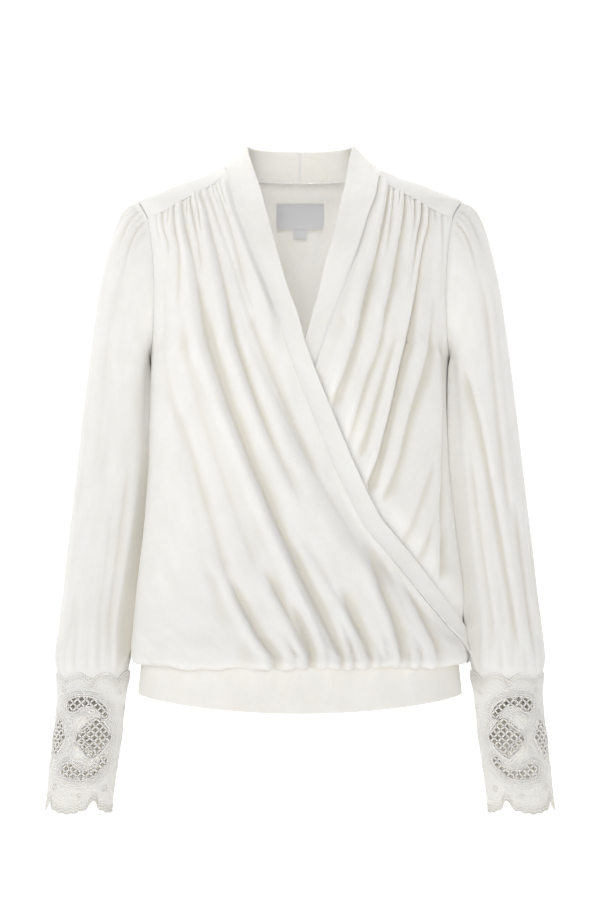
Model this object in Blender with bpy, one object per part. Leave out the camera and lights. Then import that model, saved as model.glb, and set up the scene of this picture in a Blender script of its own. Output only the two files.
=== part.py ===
# A long-sleeved wrap top, filled out and hollow, with +Z up and its front towards -Y.
# The origin lies between the two high points of the shoulders, where the wearer carries it.
# Lengths in the tables are millimetres and angles are degrees.
#
# The body pieces lie on one form: stacked oval sections. A place on it is an angle round the
# body (0 at the centre front, -90 at the wearer's right side, 180 at the centre back) and a
# level, the way down from the shoulders. "Lift" is the distance outwards from that form.

import bmesh
import bpy
import numpy as np
from mathutils import Vector
from mathutils.geometry import delaunay_2d_cdt

MM = 0.001

# Cloth
CLOTH_WALL = 1.6          # brushed jersey of the body and the sleeves
BAND_WALL = 2.2           # neckbands and hem band, sewn double
LACE_WALL = 1.4           # guipure lace of the cuffs
LABEL_WALL = 1.0
SEAM_GAP = 0.3            # between pieces that are sewn together
UNDER_LIFT = -5.0         # where it is covered, the under front lies this far inside
OVER_BAND_LIFT = 0.6      # the over neckband's free edge stands proud by this
BODY_FULLNESS = 0.25      # how square the oval sections are
FOLD_EDGE = 14.0          # folds fade out over this distance from a neckband seam
SIDE_EDGE = 48.0          # and over this distance from a side seam, clear of the sleeve

# Form of the body: height, half width and depths of each oval section. Past the lowest
# row the cloth rolls under to the hem seam.
BODY_SECTIONS = {
    "columns": ("level", "height", "half_width", "front", "back"),
    "rows": (
        (-6, 6, 70, 40, 46),
        (-2, 2, 79, 44, 50),
        (4, -4, 96, 50, 56),
        (11, -11, 111, 57, 62),
        (17, -17, 131, 62, 67),
        (24, -24, 148, 67, 71),
        (30, -30, 165, 71, 75),
        (35, -35, 175.5, 74, 78),
        (55, -55, 176.5, 84, 86),
        (84, -84, 174, 94, 92),
        (128, -128, 169, 104, 96),
        (165, -165, 165, 110, 98),
        (205, -205, 161, 113, 98),
        (248, -248, 159.5, 113, 95),
        (310, -310, 161, 110, 90),
        (389, -389, 167.5, 108, 92),
        (434, -434, 173, 110, 97),
        (497, -497, 179.5, 113, 102),
        (515, -514, 181.5, 115, 104),
        (524, -522, 181.5, 115, 104),
        (531, -527.5, 180, 113.5, 102.5),
        (538, -530.5, 177, 111, 100),
        (545, -531, 172.4, 107.4, 96.4),
    ),
}
HEM_LEVEL = 545

# Armhole: how far round from the side its front and back edges reach at each level.
ARMHOLE = {
    "columns": ("level", "front", "back"),
    "rows": (
        (35, 0, 0),
        (36.5, 8, 8),
        (40, 13, 13),
        (46, 18, 17.5),
        (55, 22.5, 21),
        (68, 23.8, 22.6),
        (95, 24.4, 23.2),
        (128, 22.8, 22.4),
        (160, 19.5, 19.5),
        (183, 14.5, 15),
        (198, 7.5, 8),
        (205, 0, 0),
    ),
}
ARMHOLE_TOP = 35
YOKE_SEAM_LEVEL = 55

YOKE_NECK_OUT = 79.0      # from the centre to the yoke's neck end, on the shoulder line
YOKE_COLUMNS = 7
YOKE_ALONG = (0.004, 0.996)   # shares of its own place that a yoke covers, so as to stop
YOKE_ACROSS = 0.98            # short of the neckband, the sleeve and the panels

# Yoke seams and the back neck seam: the level at each distance from the centre.
FRONT_YOKE_SEAM = {
    "columns": ("out", "level"),
    "rows": ((77, 1.5), (87, 13), (98, 21.5), (115, 30.5), (131, 40), (147, 48.5), (163, 55)),
}
BACK_YOKE_SEAM = {
    "columns": ("out", "level"),
    "rows": ((76, 3.5), (84, 9), (100, 18), (130, 33), (165, 55)),
}
BACK_NECK_SEAM = {
    "columns": ("out", "level"),
    "rows": ((0, 9.6), (25, 9.4), (50, 7.8), (70, 5.2), (76, 3.5)),
}

# Levels between which the neckbands part in depth, one over the other.
BANDS_PART = (60, 150)
SHORTEST_STEP = 2.0       # between the last two points of a neckband's seam
BAND_ROWS = 4
# Free edge of each neckband on the chest, from the neck down to the far side seam:
# distance past the centre front, height and width of the band there.
OVER_WRAP = {
    "columns": ("across", "height", "width"),
    "rows": (
        (-47, -9, 19),
        (-34, -54, 25),
        (-24, -91, 23),
        (-12.5, -131, 21),
        (-1, -163, 20),
        (5, -187, 20),
        (17, -220, 20),
        (35, -264, 20),
        (51.5, -304, 20),
        (70, -345, 19.5),
        (85, -374, 19),
        (103, -396, 19),
        (122, -420, 19),
        (144, -449, 19.5),
        (165, -477, 20),
        (179, -500, 21),
    ),
}
UNDER_WRAP = {
    "columns": ("across", "height", "width"),
    "rows": (
        (-50, -8, 22),
        (-43.5, -38, 27),
        (-35.5, -74, 25),
        (-26, -106, 23),
        (-19, -136, 21.5),
        (-9.5, -170, 20.5),
        (-1, -196, 20),
        (20, -250, 20),
        (46, -312, 20),
        (78, -372, 19.5),
        (112, -420, 19.5),
        (144, -458, 20),
        (176, -490, 20),
    ),
}
# Points of the neckband's seam behind the neck: distances from the centre back, then
# places across the yoke's neck end.
BACK_NECK_STOPS = (0, 14, 28, 42, 54, 64, 71)
YOKE_NECK_STOPS = (1, 0.55, 0, -0.5, -1)
# Stand of the collar from the centre back to the neck side: its free edge.
COLLAR_EDGE = {
    "columns": ("out", "y", "height"),
    "rows": (
        (0, 57, 24),
        (13, 56.8, 24.1),
        (26, 55.5, 24.4),
        (37, 51.5, 24.8),
        (45, 45, 25.1),
        (50, 37, 25.3),
        (53, 27, 25.5),
        (55.5, 16, 25.6),
        (56.5, 4, 25.4),
        (56.3, -8, 24.5),
        (55, -20, 19),
        (52.5, -34, 8),
    ),
}

# Folds of a front, from the side to the neckband: how far past the centre front each
# trough lies at five stations down the piece, and its depth at the top, middle and hem.
STATIONS = (0.0, 0.25, 0.5, 0.75, 1.0)
FOLD_COLUMNS = ("yoke", "bust", "waist", "low", "hem", "top_depth", "middle_depth", "hem_depth")
OVER_FOLDS = (
    (-158, -150, -122, -84, -26, 1.6, 5.0, 4.0),
    (-149, -131, -94, -50, 2, 2.0, 1.0, 3.5),
    (-139, -104, -64, -12, 31, 2.2, 6.5, 5.0),
    (-132, -94, -54, 2, 46, 2.0, 1.0, 3.0),
    (-125, -83, -45, 14, 60, 2.0, 1.5, 3.5),
    (-118, -77, -39, 22, 72, 2.0, 0.8, 2.5),
    (-111, -70, -32, 30, 85, 2.2, 5.0, 4.0),
    (-105, -61, -23, 41, 99, 2.0, 1.2, 3.5),
    (-99, -51, -13, 52, 110, 2.0, 2.5, 2.5),
    (-94, -43, -5, 60, 120, 1.8, 0.8, 3.0),
    (-90, -36, 2, 67, 131, 1.8, 0.8, 2.5),
    (-85, -29, 8, 74, 147, 1.4, 0.5, 3.0),
)
UNDER_FOLDS = (
    (-157, -153, -134, -98, -60, 1.6, 0.5, 0.0),
    (-149, -142, -114, -70, -20, 2.0, 4.0, 0.0),
    (-142, -131, -101, -58, -8, 1.8, 1.0, 0.0),
    (-135, -120, -87, -46, 8, 2.4, 6.5, 0.0),
    (-125, -106, -75, -32, 26, 2.0, 1.5, 0.0),
    (-114, -92, -62, -20, 44, 2.2, 5.0, 0.0),
    (-104, -79, -47, -2, 65, 2.0, 1.5, 0.0),
    (-95, -63, -28, 22, 90, 2.0, 4.5, 0.0),
    (-90, -52, -16, 40, 110, 1.8, 1.0, 0.0),
    (-85, -43, -5, 58, 132, 1.4, 0.5, 0.0),
)
BACK_FOLDS = (
    (-112, -122, -126, -128, -130, 0.0, 1.5, 3.0),
    (-84, -94, -102, -104, -104, 0.0, 3.0, 3.5),
    (-58, -64, -72, -76, -78, 0.0, 1.5, 2.5),
    (-30, -34, -40, -46, -46, 0.0, 2.5, 3.5),
    (-4, -6, -10, -14, -16, 0.0, 0.5, 2.5),
    (22, 24, 24, 22, 20, 0.0, 2.0, 3.5),
    (50, 56, 60, 60, 56, 0.0, 3.0, 3.0),
    (78, 88, 96, 96, 94, 0.0, 1.5, 2.5),
    (108, 120, 126, 128, 130, 0.0, 2.5, 3.5),
)
# Shares of the way down between which a fold's top depth fades, its middle depth comes and
# goes, and its hem depth comes; and those between which all folds leave and meet the seams.
TOP_DEPTH_FADES = (0.04, 0.30)
MIDDLE_DEPTH_COMES = (0.10, 0.32)
MIDDLE_DEPTH_GOES = (0.80, 1.0)
HEM_DEPTH_COMES = (0.74, 0.95)
FOLDS_START = (0.0, 0.015)
FOLDS_END = (0.965, 1.0)
# How far a panel stands out between its troughs, and how wide a trough is, down the piece.
FULLNESS_DOWN = {
    "columns": ("share", "front", "back", "trough_width"),
    "rows": (
        (0.0, 0.0, 0.0, 2.6),
        (0.015, 2.2, 0.2, 2.8),
        (0.1, 3.6, 0.8, 4.0),
        (0.3, 5.5, 2.5, 7.0),
        (0.6, 6.5, 3.0, 9.0),
        (0.85, 6.0, 4.0, 6.5),
        (0.96, 4.5, 4.0, 4.6),
        (1.0, 0.0, 0.0, 4.4),
    ),
}
# Levels of the rows of a body panel down its side edge, from the yoke seam to the hem seam.
PANEL_LEVELS = (55, 68, 95, 128, 160, 183, 198, 205, 252, 310, 370, 430, 485, 517, 531, 538,
                545)
ANGLE_SPACING = (0.15, 0.45)   # between these shares a panel's columns turn from even
                               # distances to even angles, so that they close at the side
PLAIN_COLUMNS = {"front_over": (7, 3), "front_under": (5, 3), "back": (4, 4)}
FIRST_FOLD_SHARE = 0.035  # nearest that the first and last folds' columns come to the
LAST_FOLD_SHARE = 0.975   # edges, as shares of the way across, and the least step between
FOLD_SHARE_STEP = 0.018   # neighbouring ones
EDGE_REACH = 6.0          # a panel draws in to leave its seam gap over this distance
UNDER_SHOWS = (6, 34)     # past the over front's edge the under front's folds come up here
UNDER_RISES = (10, 60)    # and the piece itself comes out to the form here

# Hem band
HEM_BAND = {
    "columns": ("share", "half_width", "front", "back"),
    "rows": ((0.0, 171, 106, 95), (0.5, 172.8, 107.6, 96.6), (1.0, 175, 109.5, 98)),
}
HEM_BAND_TOP = -528.5
HEM_BAND_SIDE_BOTTOM = -565.0
HEM_BAND_FRONT_BOTTOM = -580.0
HEM_BAND_BACK_BOTTOM = -574.0
HEM_BAND_COLUMNS = 25
HEM_BAND_ROWS = 3

# Sleeve: the outer and inner ends of each section as seen from the front, its depths
# before and behind its middle, and where that middle lies.
SLEEVE_SECTIONS = {
    "columns": ("share", "outer", "outer_height", "inner", "inner_height", "front", "back", "middle"),
    "rows": (
        (0.00, 176.5, -35, 162.2, -204.6, 48, 48, 0),
        (0.04, 188.5, -43, 162.7, -207, 50, 50, 0),
        (0.09, 198.5, -63, 162.7, -213, 51, 51, 0),
        (0.15, 206.5, -91, 162.6, -222, 51, 51, 0),
        (0.23, 215.5, -134, 162.3, -237, 49.5, 50.5, 0),
        (0.33, 223.3, -190, 162.2, -262, 47, 49, -1),
        (0.44, 231.2, -254, 163.4, -299, 45, 47, -2),
        (0.56, 239.5, -325, 167.2, -350, 43, 44.5, -3),
        (0.68, 246.8, -387, 172.6, -402, 41, 42.5, -4),
        (0.80, 254.0, -450, 179.0, -457, 40, 41, -5),
        (0.89, 259.3, -496, 183.2, -498, 39, 39.5, -6),
        (0.96, 262.5, -530, 184.0, -529, 36, 36, -6),
        (0.98, 259.2, -539, 187.0, -538, 31.5, 31.5, -6),
        (1.00, 256.2, -550, 191.0, -549, 28, 28, -6),
    ),
}
SLEEVE_FULLNESS = 0.12
HEAD_FADE = 0.24          # share of the sleeve over which the armhole's shape turns oval
# Long folds of a sleeve: place round it in degrees from its outer line towards the front,
# at the head, elbow and cuff, then depth and the shares between which each fold runs.
SLEEVE_FOLDS = {
    "columns": ("head", "elbow", "cuff", "depth", "width", "start", "end"),
    "rows": (
        (62, 66, 60, 3.2, 13, 0.03, 0.80),
        (36, 38, 30, 1.8, 10, 0.05, 0.55),
        (100, 92, 96, 2.4, 14, 0.25, 0.97),
        (126, 128, 122, 2.2, 12, 0.45, 0.97),
        (-48, -56, -52, 2.8, 13, 0.05, 0.75),
        (-92, -88, -94, 2.4, 14, 0.30, 0.97),
        (-130, -126, -120, 2.0, 12, 0.15, 0.90),
        (10, 14, 8, 1.8, 10, 0.60, 0.97),
    ),
}
FOLD_RISE = 0.12          # share of the sleeve over which a fold deepens
FOLD_FALL = 0.15          # and over which it fades
SLEEVE_SEAM_GAP = 0.7     # from the armhole's edges, which a sleeve meets with its face
HEAD_PUFF = 1.5           # the sleeve stands out by this below its seam
HEAD_GATHER = 1.7         # depth of the gathers at the sleeve head
HEAD_GATHER_SIDES = (0.35, 0.70)   # they come in between these shares of the way up
HEAD_GATHER_COMES = (0.0, 0.03)    # and come and go between these shares down the sleeve
HEAD_GATHER_GOES = (0.06, 0.17)
CUFF_GATHERS = 10         # gathers above the cuff, round the sleeve
CUFF_GATHER = 1.5
CUFF_GATHER_COMES = (0.84, 0.93)
CUFF_GATHER_GOES = (0.94, 0.975)
INNER_SIDE_PLAIN = (0.55, 0.90)    # towards the body the relief dies out here

# Cuff
CUFF_SECTIONS = {
    "columns": ("height", "outer", "inner", "front", "back"),
    "rows": (
        (-540, 264.2, 181.6, 35.2, 35.2),
        (-550, 262.2, 184.6, 33.4, 33.4),
        (-562, 261.6, 187.0, 32.0, 32.0),
        (-590, 263.6, 190.0, 31.0, 31.0),
        (-620, 267.6, 193.0, 30.5, 30.5),
        (-650, 271.0, 197.6, 30.0, 30.0),
        (-700, 275.4, 204.0, 30.0, 30.0),
    ),
}
CUFF_TOP = -540.0
CUFF_MIDDLE = -6.0        # the cuff's middle along Y
CUFF_HALF_GIRTH = 53.0    # from the centre line of a half to its side, along the lace
SCALLOP_TOP_STEP = 26.5   # between the peaks of the lace's upper edge
SCALLOP_TOP_DEPTH = 9.0
HEM_LOBE_STEP = 53.0      # between the notches of its hem, four of them round the wrist
HEM_NOTCH_PLACE = 15.7    # the first notch, towards the body from the centre of the front
HEM_NOTCH_DEPTH = 13.0
HEM_LOBE_ROUNDNESS = 0.4  # the lower, the wider the lobes and the narrower the notches
CUFF_LENGTH = 153.0       # from the lace's upper peaks to the foot of the hem lobes
# Lace design, measured from the centre line of a cuff half (towards the body on the front
# half) and down from the cuff's top line. A net fills each diamond, and two rows of the
# same holes follow each arc, whose angles run clockwise from the body side.
NET_PITCH = 8.3           # between neighbouring holes in one row
NET_HOLE = 3.15           # from the middle of a hole to its points
NET_DIAMONDS = {
    "columns": ("across", "down", "half_width", "half_height"),
    "rows": ((8.3, 70.5, 20, 24), (-33.2, 70.5, 12, 20)),
}
NET_DIAMOND_FILL = 0.9    # a diamond's outermost holes lie within this share of its size
NET_ARCS = {
    "columns": ("across", "down", "radius", "from_angle", "to_angle"),
    "rows": ((-4, 53, 21.5, -120, -22), (0, 88, 22.5, 22, 125)),
}
ARC_ROW_OFFSET = 2.9      # each row of an arc lies this far to one side of its radius
ARC_STEP = 7.6            # between holes along an arc
HOLES_APART = 7.4         # least distance between a hole of an arc and one of a diamond
LACE_EDGE_COLUMNS = 25
BEND_ACROSS = (-42, -28, -14, 0, 14, 28, 42)       # spare points in the solid parts, which
BEND_DOWN = (20, 38, 56, 74, 92, 110, 128)         # let the flat lace bend round the wrist
BEND_CLEAR = 7.0          # and keep this far from the middles of the holes
EYELETS = {
    "columns": ("across", "down", "radius"),
    "rows": ((-27, 24, 2.3), (30, 24, 2.3), (26, 122, 2.3), (-28, 124, 2.3)),
}

# Label on the inside of the back
LABEL_WIDTH = 52.0
LABEL_LEVELS = (30.0, 58.5)
TAB_WIDTH = 16.0
TAB_LEVELS = (59.0, 69.0)
LABEL_INSET = 0.9         # behind the inner face of the back
LABEL_COLUMNS = 5
LABEL_ROWS = 3


def column(table, name):
    place = table["columns"].index(name)
    return np.array([row[place] for row in table["rows"]], float)


def curve_through(stops, values):
    # A smooth curve through a table's rows that never swings past them.
    stops = np.asarray(stops, float)
    values = np.asarray(values, float)
    gaps = np.diff(stops)
    slopes = np.diff(values) / gaps
    before = slopes[:-1]
    after = slopes[1:]
    total = np.where(before + after == 0, 1.0, before + after)
    tangents = np.concatenate([slopes[:1], np.where(before * after > 0, 2 * before * after / total, 0.0),
                               slopes[-1:]])

    def at(where):
        where = np.clip(where, stops[0], stops[-1])
        cell = np.clip(np.searchsorted(stops, where, side="right") - 1, 0, len(gaps) - 1)
        share = (where - stops[cell]) / gaps[cell]
        rise = values[cell + 1] - values[cell]
        start = tangents[cell] * gaps[cell]
        end = tangents[cell + 1] * gaps[cell]
        bend = 3 * rise - 2 * start - end
        twist = start + end - 2 * rise
        return values[cell] + share * (start + share * (bend + share * twist))

    return at


def table_curve(table, along, name):
    return curve_through(column(table, along), column(table, name))


def soft_step(value, low, high):
    # 0 up to the low value, 1 from the high one, and smooth between them.
    share = np.clip((value - low) / (high - low), 0.0, 1.0)
    return share * share * (3 - 2 * share)


def blend(first, second, share):
    return first + (second - first) * share


body_height = table_curve(BODY_SECTIONS, "level", "height")
body_half_width = table_curve(BODY_SECTIONS, "level", "half_width")
body_front = table_curve(BODY_SECTIONS, "level", "front")
body_back = table_curve(BODY_SECTIONS, "level", "back")
front_yoke_seam = table_curve(FRONT_YOKE_SEAM, "out", "level")
back_yoke_seam = table_curve(BACK_YOKE_SEAM, "out", "level")
back_neck_seam = table_curve(BACK_NECK_SEAM, "out", "level")


def body_point(angle, level):
    # An oval: the depth takes a little more than a cosine, which squares its corners.
    depth = np.where(np.cos(angle) > 0, body_front(level), body_back(level))
    x = body_half_width(level) * np.sin(angle)
    y = -depth * np.cos(angle) * (1 + BODY_FULLNESS * np.sin(angle) ** 2)
    return np.stack([x, y, body_height(level) + 0 * x], axis=-1)


def body_tangents(angle, level):
    turn = 0.01
    drop = 0.5
    round_it = (body_point(angle + turn, level) - body_point(angle - turn, level)) / (2 * turn)
    down_it = (body_point(angle, level + drop) - body_point(angle, level - drop)) / (2 * drop)
    return round_it, down_it


def body_normal(angle, level):
    round_it, down_it = body_tangents(angle, level)
    normal = np.cross(down_it, round_it)
    return normal / np.linalg.norm(normal, axis=-1, keepdims=True)


def walls(angle, level, lift, wall):
    # Outer and inner faces of a piece that lies on the body's form.
    base = body_point(angle, level)
    normal = body_normal(angle, level)
    lift = np.asarray(lift, float)[..., None] + np.zeros_like(base[..., :1])
    return base + normal * lift, base + normal * (lift - wall)


def angle_at(out, level):
    # The angle from the centre front of a point that lies "out" from the middle plane.
    return np.arcsin(np.clip(out / body_half_width(level), -1.0, 1.0))


def ridge_level(out):
    levels = np.linspace(column(BODY_SECTIONS, "level")[0], ARMHOLE_TOP, 800)
    return np.interp(out, body_half_width(levels), levels)


def armhole_reach(level, face):
    return np.radians(np.interp(level, column(ARMHOLE, "level"), column(ARMHOLE, face)))


def mirrored(points):
    return points * np.array([-1.0, 1.0, 1.0])


def cloth_material(name, colour, roughness):
    material = bpy.data.materials.new(name)
    material.use_nodes = True
    shader = material.node_tree.nodes["Principled BSDF"]
    shader.inputs["Base Color"].default_value = (*colour, 1.0)
    shader.inputs["Roughness"].default_value = roughness
    shader.inputs["Metallic"].default_value = 0.0
    material.diffuse_color = (*colour, 1.0)
    return material


def add_solid(name, points, faces, material):
    mesh = bpy.data.meshes.new(name)
    mesh.from_pydata([tuple(point) for point in points * MM], [], faces)
    work = bmesh.new()
    work.from_mesh(mesh)
    bmesh.ops.recalc_face_normals(work, faces=work.faces)
    work.to_mesh(mesh)
    work.free()
    mesh.shade_smooth()
    mesh.set_sharp_from_angle(angle=np.radians(50))
    mesh.materials.append(material)
    solid = bpy.data.objects.new(name, mesh)
    bpy.context.collection.objects.link(solid)
    return solid


def add_cloth(name, faces_of_wall, material, tube=False):
    # A closed wall between two grids of points, with a rim round its edges. A tube's
    # last column joins its first.
    outer, inner = faces_of_wall
    rows, columns = outer.shape[:2]
    count = rows * columns
    index = np.arange(count).reshape(rows, columns)
    if tube:
        index = np.hstack([index, index[:, :1]])
    corners = (index[:-1, :-1], index[1:, :-1], index[1:, 1:], index[:-1, 1:])
    quads = np.stack(corners, axis=-1).reshape(-1, 4)
    faces = [tuple(quad) for quad in quads]
    faces += [tuple(quad[::-1] + count) for quad in quads]
    rims = [index[0], index[-1, ::-1]]
    if not tube:
        rims += [index[::-1, 0], index[:, -1]]
    for rim in rims:
        for start, end in zip(rim[:-1], rim[1:]):
            faces.append((start, end, end + count, start + count))
    points = np.concatenate([outer.reshape(-1, 3), inner.reshape(-1, 3)])
    return add_solid(name, points, faces, material)


# Neckbands ------------------------------------------------------------------

def wrap_path(table):
    # Free edge and seam of a neckband on the chest. The seam lies one band width down
    # and to the side of the edge, measured on the form itself.
    level = -column(table, "height")
    angle = angle_at(column(table, "across"), level)
    round_it, down_it = body_tangents(angle, level)
    round_size = np.linalg.norm(round_it, axis=-1)
    down_size = np.linalg.norm(down_it, axis=-1)
    along_round = np.gradient(angle) * round_size
    along_down = np.gradient(level) * down_size
    length = np.hypot(along_round, along_down)
    width = column(table, "width")
    seam_angle = angle - width * along_down / length / round_size
    seam_level = level + width * along_round / length / down_size
    return angle, level, np.minimum(seam_angle, np.pi / 2), seam_level


def band_seam(table):
    # The seam between a front and its neckband: a curve of angle over level, which starts
    # at the front end of the yoke, and the level at which it meets the side seam.
    _, _, angle, level = wrap_path(table)
    neck_angle, neck_level = yoke_place(np.zeros(1), -np.ones(1))
    level = np.concatenate([neck_level, level])
    return curve_through(level, np.concatenate([-neck_angle, angle])), level[-1]


def panel_rows():
    # Levels of a panel's rows down its side edge, and their shares of the way down.
    level = np.array(PANEL_LEVELS, float)
    return level, (level - level[0]) / (level[-1] - level[0])


def band_levels(table):
    # Levels of a front's rows down its neckband seam.
    start = yoke_place(np.zeros(1), -np.ones(1))[1][0]
    return blend(start + SEAM_GAP, HEM_LEVEL, panel_rows()[1])


def yoke_place(along, across):
    # Angle and level of a yoke point: along from the neck (0) to the armhole (1), across
    # from the front seam (-1) over the shoulder line (0) to the back seam (1).
    face_front = across < 0
    square = across ** 2
    front_out, front_level = FRONT_YOKE_SEAM["rows"][0]
    back_out, back_level = BACK_YOKE_SEAM["rows"][0]
    neck_level = np.where(face_front, front_level, back_level)
    neck_level = blend(ridge_level(YOKE_NECK_OUT), neck_level, square)
    neck_out = blend(YOKE_NECK_OUT, np.where(face_front, front_out, back_out), square)
    arm_level = blend(ARMHOLE_TOP, YOKE_SEAM_LEVEL, square)
    reach = np.where(face_front, armhole_reach(arm_level, "front"), armhole_reach(arm_level, "back"))
    arm_out = body_half_width(arm_level) * np.cos(reach)
    out = blend(neck_out, arm_out, along)
    ridge = ridge_level(out)
    drop = blend(neck_level - ridge_level(neck_out), arm_level - ridge_level(arm_out), along)
    seam = np.where(face_front, front_yoke_seam(out), back_yoke_seam(out))
    front_drop = front_level - ridge_level(front_out)
    back_drop = back_level - ridge_level(back_out)
    neck_drop = np.where(face_front, front_drop, back_drop)
    end_reach = np.where(face_front, armhole_reach(YOKE_SEAM_LEVEL, "front"),
                         armhole_reach(YOKE_SEAM_LEVEL, "back"))
    end_out = body_half_width(YOKE_SEAM_LEVEL) * np.cos(end_reach)
    straight = blend(neck_drop, YOKE_SEAM_LEVEL - ridge_level(end_out), along)
    level = ridge + drop + (seam - ridge - straight) * square
    angle = angle_at(out, level)
    return np.where(face_front, angle, np.pi - angle), level


def make_yoke(name, side, material):
    stops = np.sqrt((column(ARMHOLE, "level")[:5] - ARMHOLE_TOP) / (YOKE_SEAM_LEVEL - ARMHOLE_TOP))
    across = np.concatenate([-stops[::-1], stops[1:]])
    along = np.linspace(*YOKE_ALONG, YOKE_COLUMNS)
    across, along = np.meshgrid(across * YOKE_ACROSS, along)
    angle, level = yoke_place(along, across)
    outer, inner = walls(angle, level, 0.0, CLOTH_WALL)
    if side < 0:
        outer = mirrored(outer)
        inner = mirrored(inner)
    return add_cloth(name, (outer, inner), material)


def neck_seam_round_the_back():
    # From the centre back to the front end of the yoke, on the wearer's left.
    out = np.array(BACK_NECK_STOPS, float)
    level = back_neck_seam(out)
    yoke_across = np.array(YOKE_NECK_STOPS, float)
    yoke_angle, yoke_level = yoke_place(0 * yoke_across, yoke_across)
    angle = np.concatenate([np.pi - angle_at(out, level), yoke_angle])
    return angle, np.concatenate([level, yoke_level])


def front_edge(table, side):
    # The neckband's free edge down the chest, as a curve of points over the seam's level.
    angle, level, _, seam_level = wrap_path(table)
    lift = OVER_BAND_LIFT if side < 0 else UNDER_LIFT
    lift = lift * soft_step(level, *BANDS_PART)[:, None]
    points = body_point(angle, level) + body_normal(angle, level) * lift
    start = band_levels(table)[0]
    stand = collar_points()[-2:]
    keys = np.concatenate([[start, (start + seam_level[0]) / 2], seam_level])
    points = np.concatenate([stand, points])
    return [curve_through(keys, points[:, axis]) for axis in range(3)]


def collar_points():
    return np.stack([-column(COLLAR_EDGE, "out"), column(COLLAR_EDGE, "y"),
                     column(COLLAR_EDGE, "height")], axis=-1)


def make_neckband(name, side, table, material):
    # Rows on the chest lie where the front has its own, so that both follow one seam.
    back_angle, back_level = neck_seam_round_the_back()
    seam_angle, seam_end = band_seam(table)
    levels = band_levels(table)
    levels = np.append(levels[levels < seam_end - SHORTEST_STEP], seam_end)
    angle = np.concatenate([-back_angle[:-1], seam_angle(levels)])
    level = np.concatenate([back_level[:-1], levels])
    sink = np.zeros(len(level))
    if side > 0:
        sink[-len(levels):] = soft_step(levels, *BANDS_PART) * UNDER_LIFT
    seam = body_point(angle, level) + body_normal(angle, level) * sink[:, None]
    edge_chest = np.stack([axis(levels) for axis in front_edge(table, side)], axis=-1)
    edge = np.concatenate([collar_points()[:len(back_angle) - 1], edge_chest])
    start = SEAM_GAP / column(table, "width").mean()
    across = np.linspace(start, 1.0, BAND_ROWS)[None, :, None]
    outer = blend(seam[:, None], edge[:, None], across)
    normal = np.cross(np.gradient(outer, axis=1), np.gradient(outer, axis=0))
    normal /= np.linalg.norm(normal, axis=-1, keepdims=True)
    outer[0, :, 0] -= SEAM_GAP / 2
    inner = outer - normal * BAND_WALL
    inner[0, :, 0] = outer[0, :, 0]
    if side > 0:
        outer = mirrored(outer)
        inner = mirrored(inner)
    return add_cloth(name, (outer, inner), material)


# Fronts and back ------------------------------------------------------------

def fold_lines(folds, share):
    # How far past the centre each fold's trough lies, a row for each share down the panel.
    stations = len(STATIONS)
    return np.stack([curve_through(STATIONS, fold[:stations])(share) for fold in folds], axis=-1)


def fold_depths(folds, share):
    top = 1 - soft_step(share, *TOP_DEPTH_FADES)
    middle = soft_step(share, *MIDDLE_DEPTH_COMES) * (1 - soft_step(share, *MIDDLE_DEPTH_GOES))
    hem = soft_step(share, *HEM_DEPTH_COMES)
    depths = []
    for fold in folds:
        named = dict(zip(FOLD_COLUMNS, fold))
        depths.append(named["top_depth"] * top + named["middle_depth"] * middle + named["hem_depth"] * hem)
    return np.stack(depths, axis=-1)


def relief(out, share, near_side, near_band, folds, face):
    # A panel stands out from the form between its folds and comes back to it in each
    # trough, whose section is a bell, and along its edges.
    fullness = table_curve(FULLNESS_DOWN, "share", face)(share)
    width = table_curve(FULLNESS_DOWN, "share", "trough_width")(share)
    lines = fold_lines(folds, share)
    depths = fold_depths(folds, share)
    away = (out[..., None] - lines) / width[..., None]
    troughs = np.sum(depths * np.exp(-away ** 2), axis=-1)
    seam = soft_step(share, *FOLDS_START) * (1 - soft_step(share, *FOLDS_END))
    edge = soft_step(near_side, 0.0, SIDE_EDGE) * soft_step(near_band, 0.0, FOLD_EDGE)
    return np.maximum(fullness - troughs * seam, 0.0) * edge


def column_shares(share, left, right, level, folds, before, after, behind=False):
    # Shares of the way across, from the left to the right edge, of a panel's columns: one
    # at each fold's trough and one between neighbours, kept in order near the edges, and
    # plain ones before the first fold and after the last.
    lines = fold_lines(folds, share)
    angle = angle_at(lines, level[:, None])
    if behind:
        angle = np.pi + angle
    wanted = (angle - left[:, None]) / (right - left)[:, None]
    count = len(folds)
    order = np.arange(count)
    least = FIRST_FOLD_SHARE + FOLD_SHARE_STEP * order
    most = LAST_FOLD_SHARE - FOLD_SHARE_STEP * order[::-1]
    wanted = np.clip(wanted, least, most)
    first = wanted[:, :1]
    last = wanted[:, -1:]
    troughs_and_tops = [first * place / before for place in range(before)]
    for place in range(count):
        troughs_and_tops.append(wanted[:, place:place + 1])
        if place < count - 1:
            troughs_and_tops.append((wanted[:, place:place + 1] + wanted[:, place + 1:place + 2]) / 2)
    troughs_and_tops += [blend(last, 1.0, place / after) for place in range(1, after + 1)]
    return np.concatenate(troughs_and_tops, axis=1)


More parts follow.
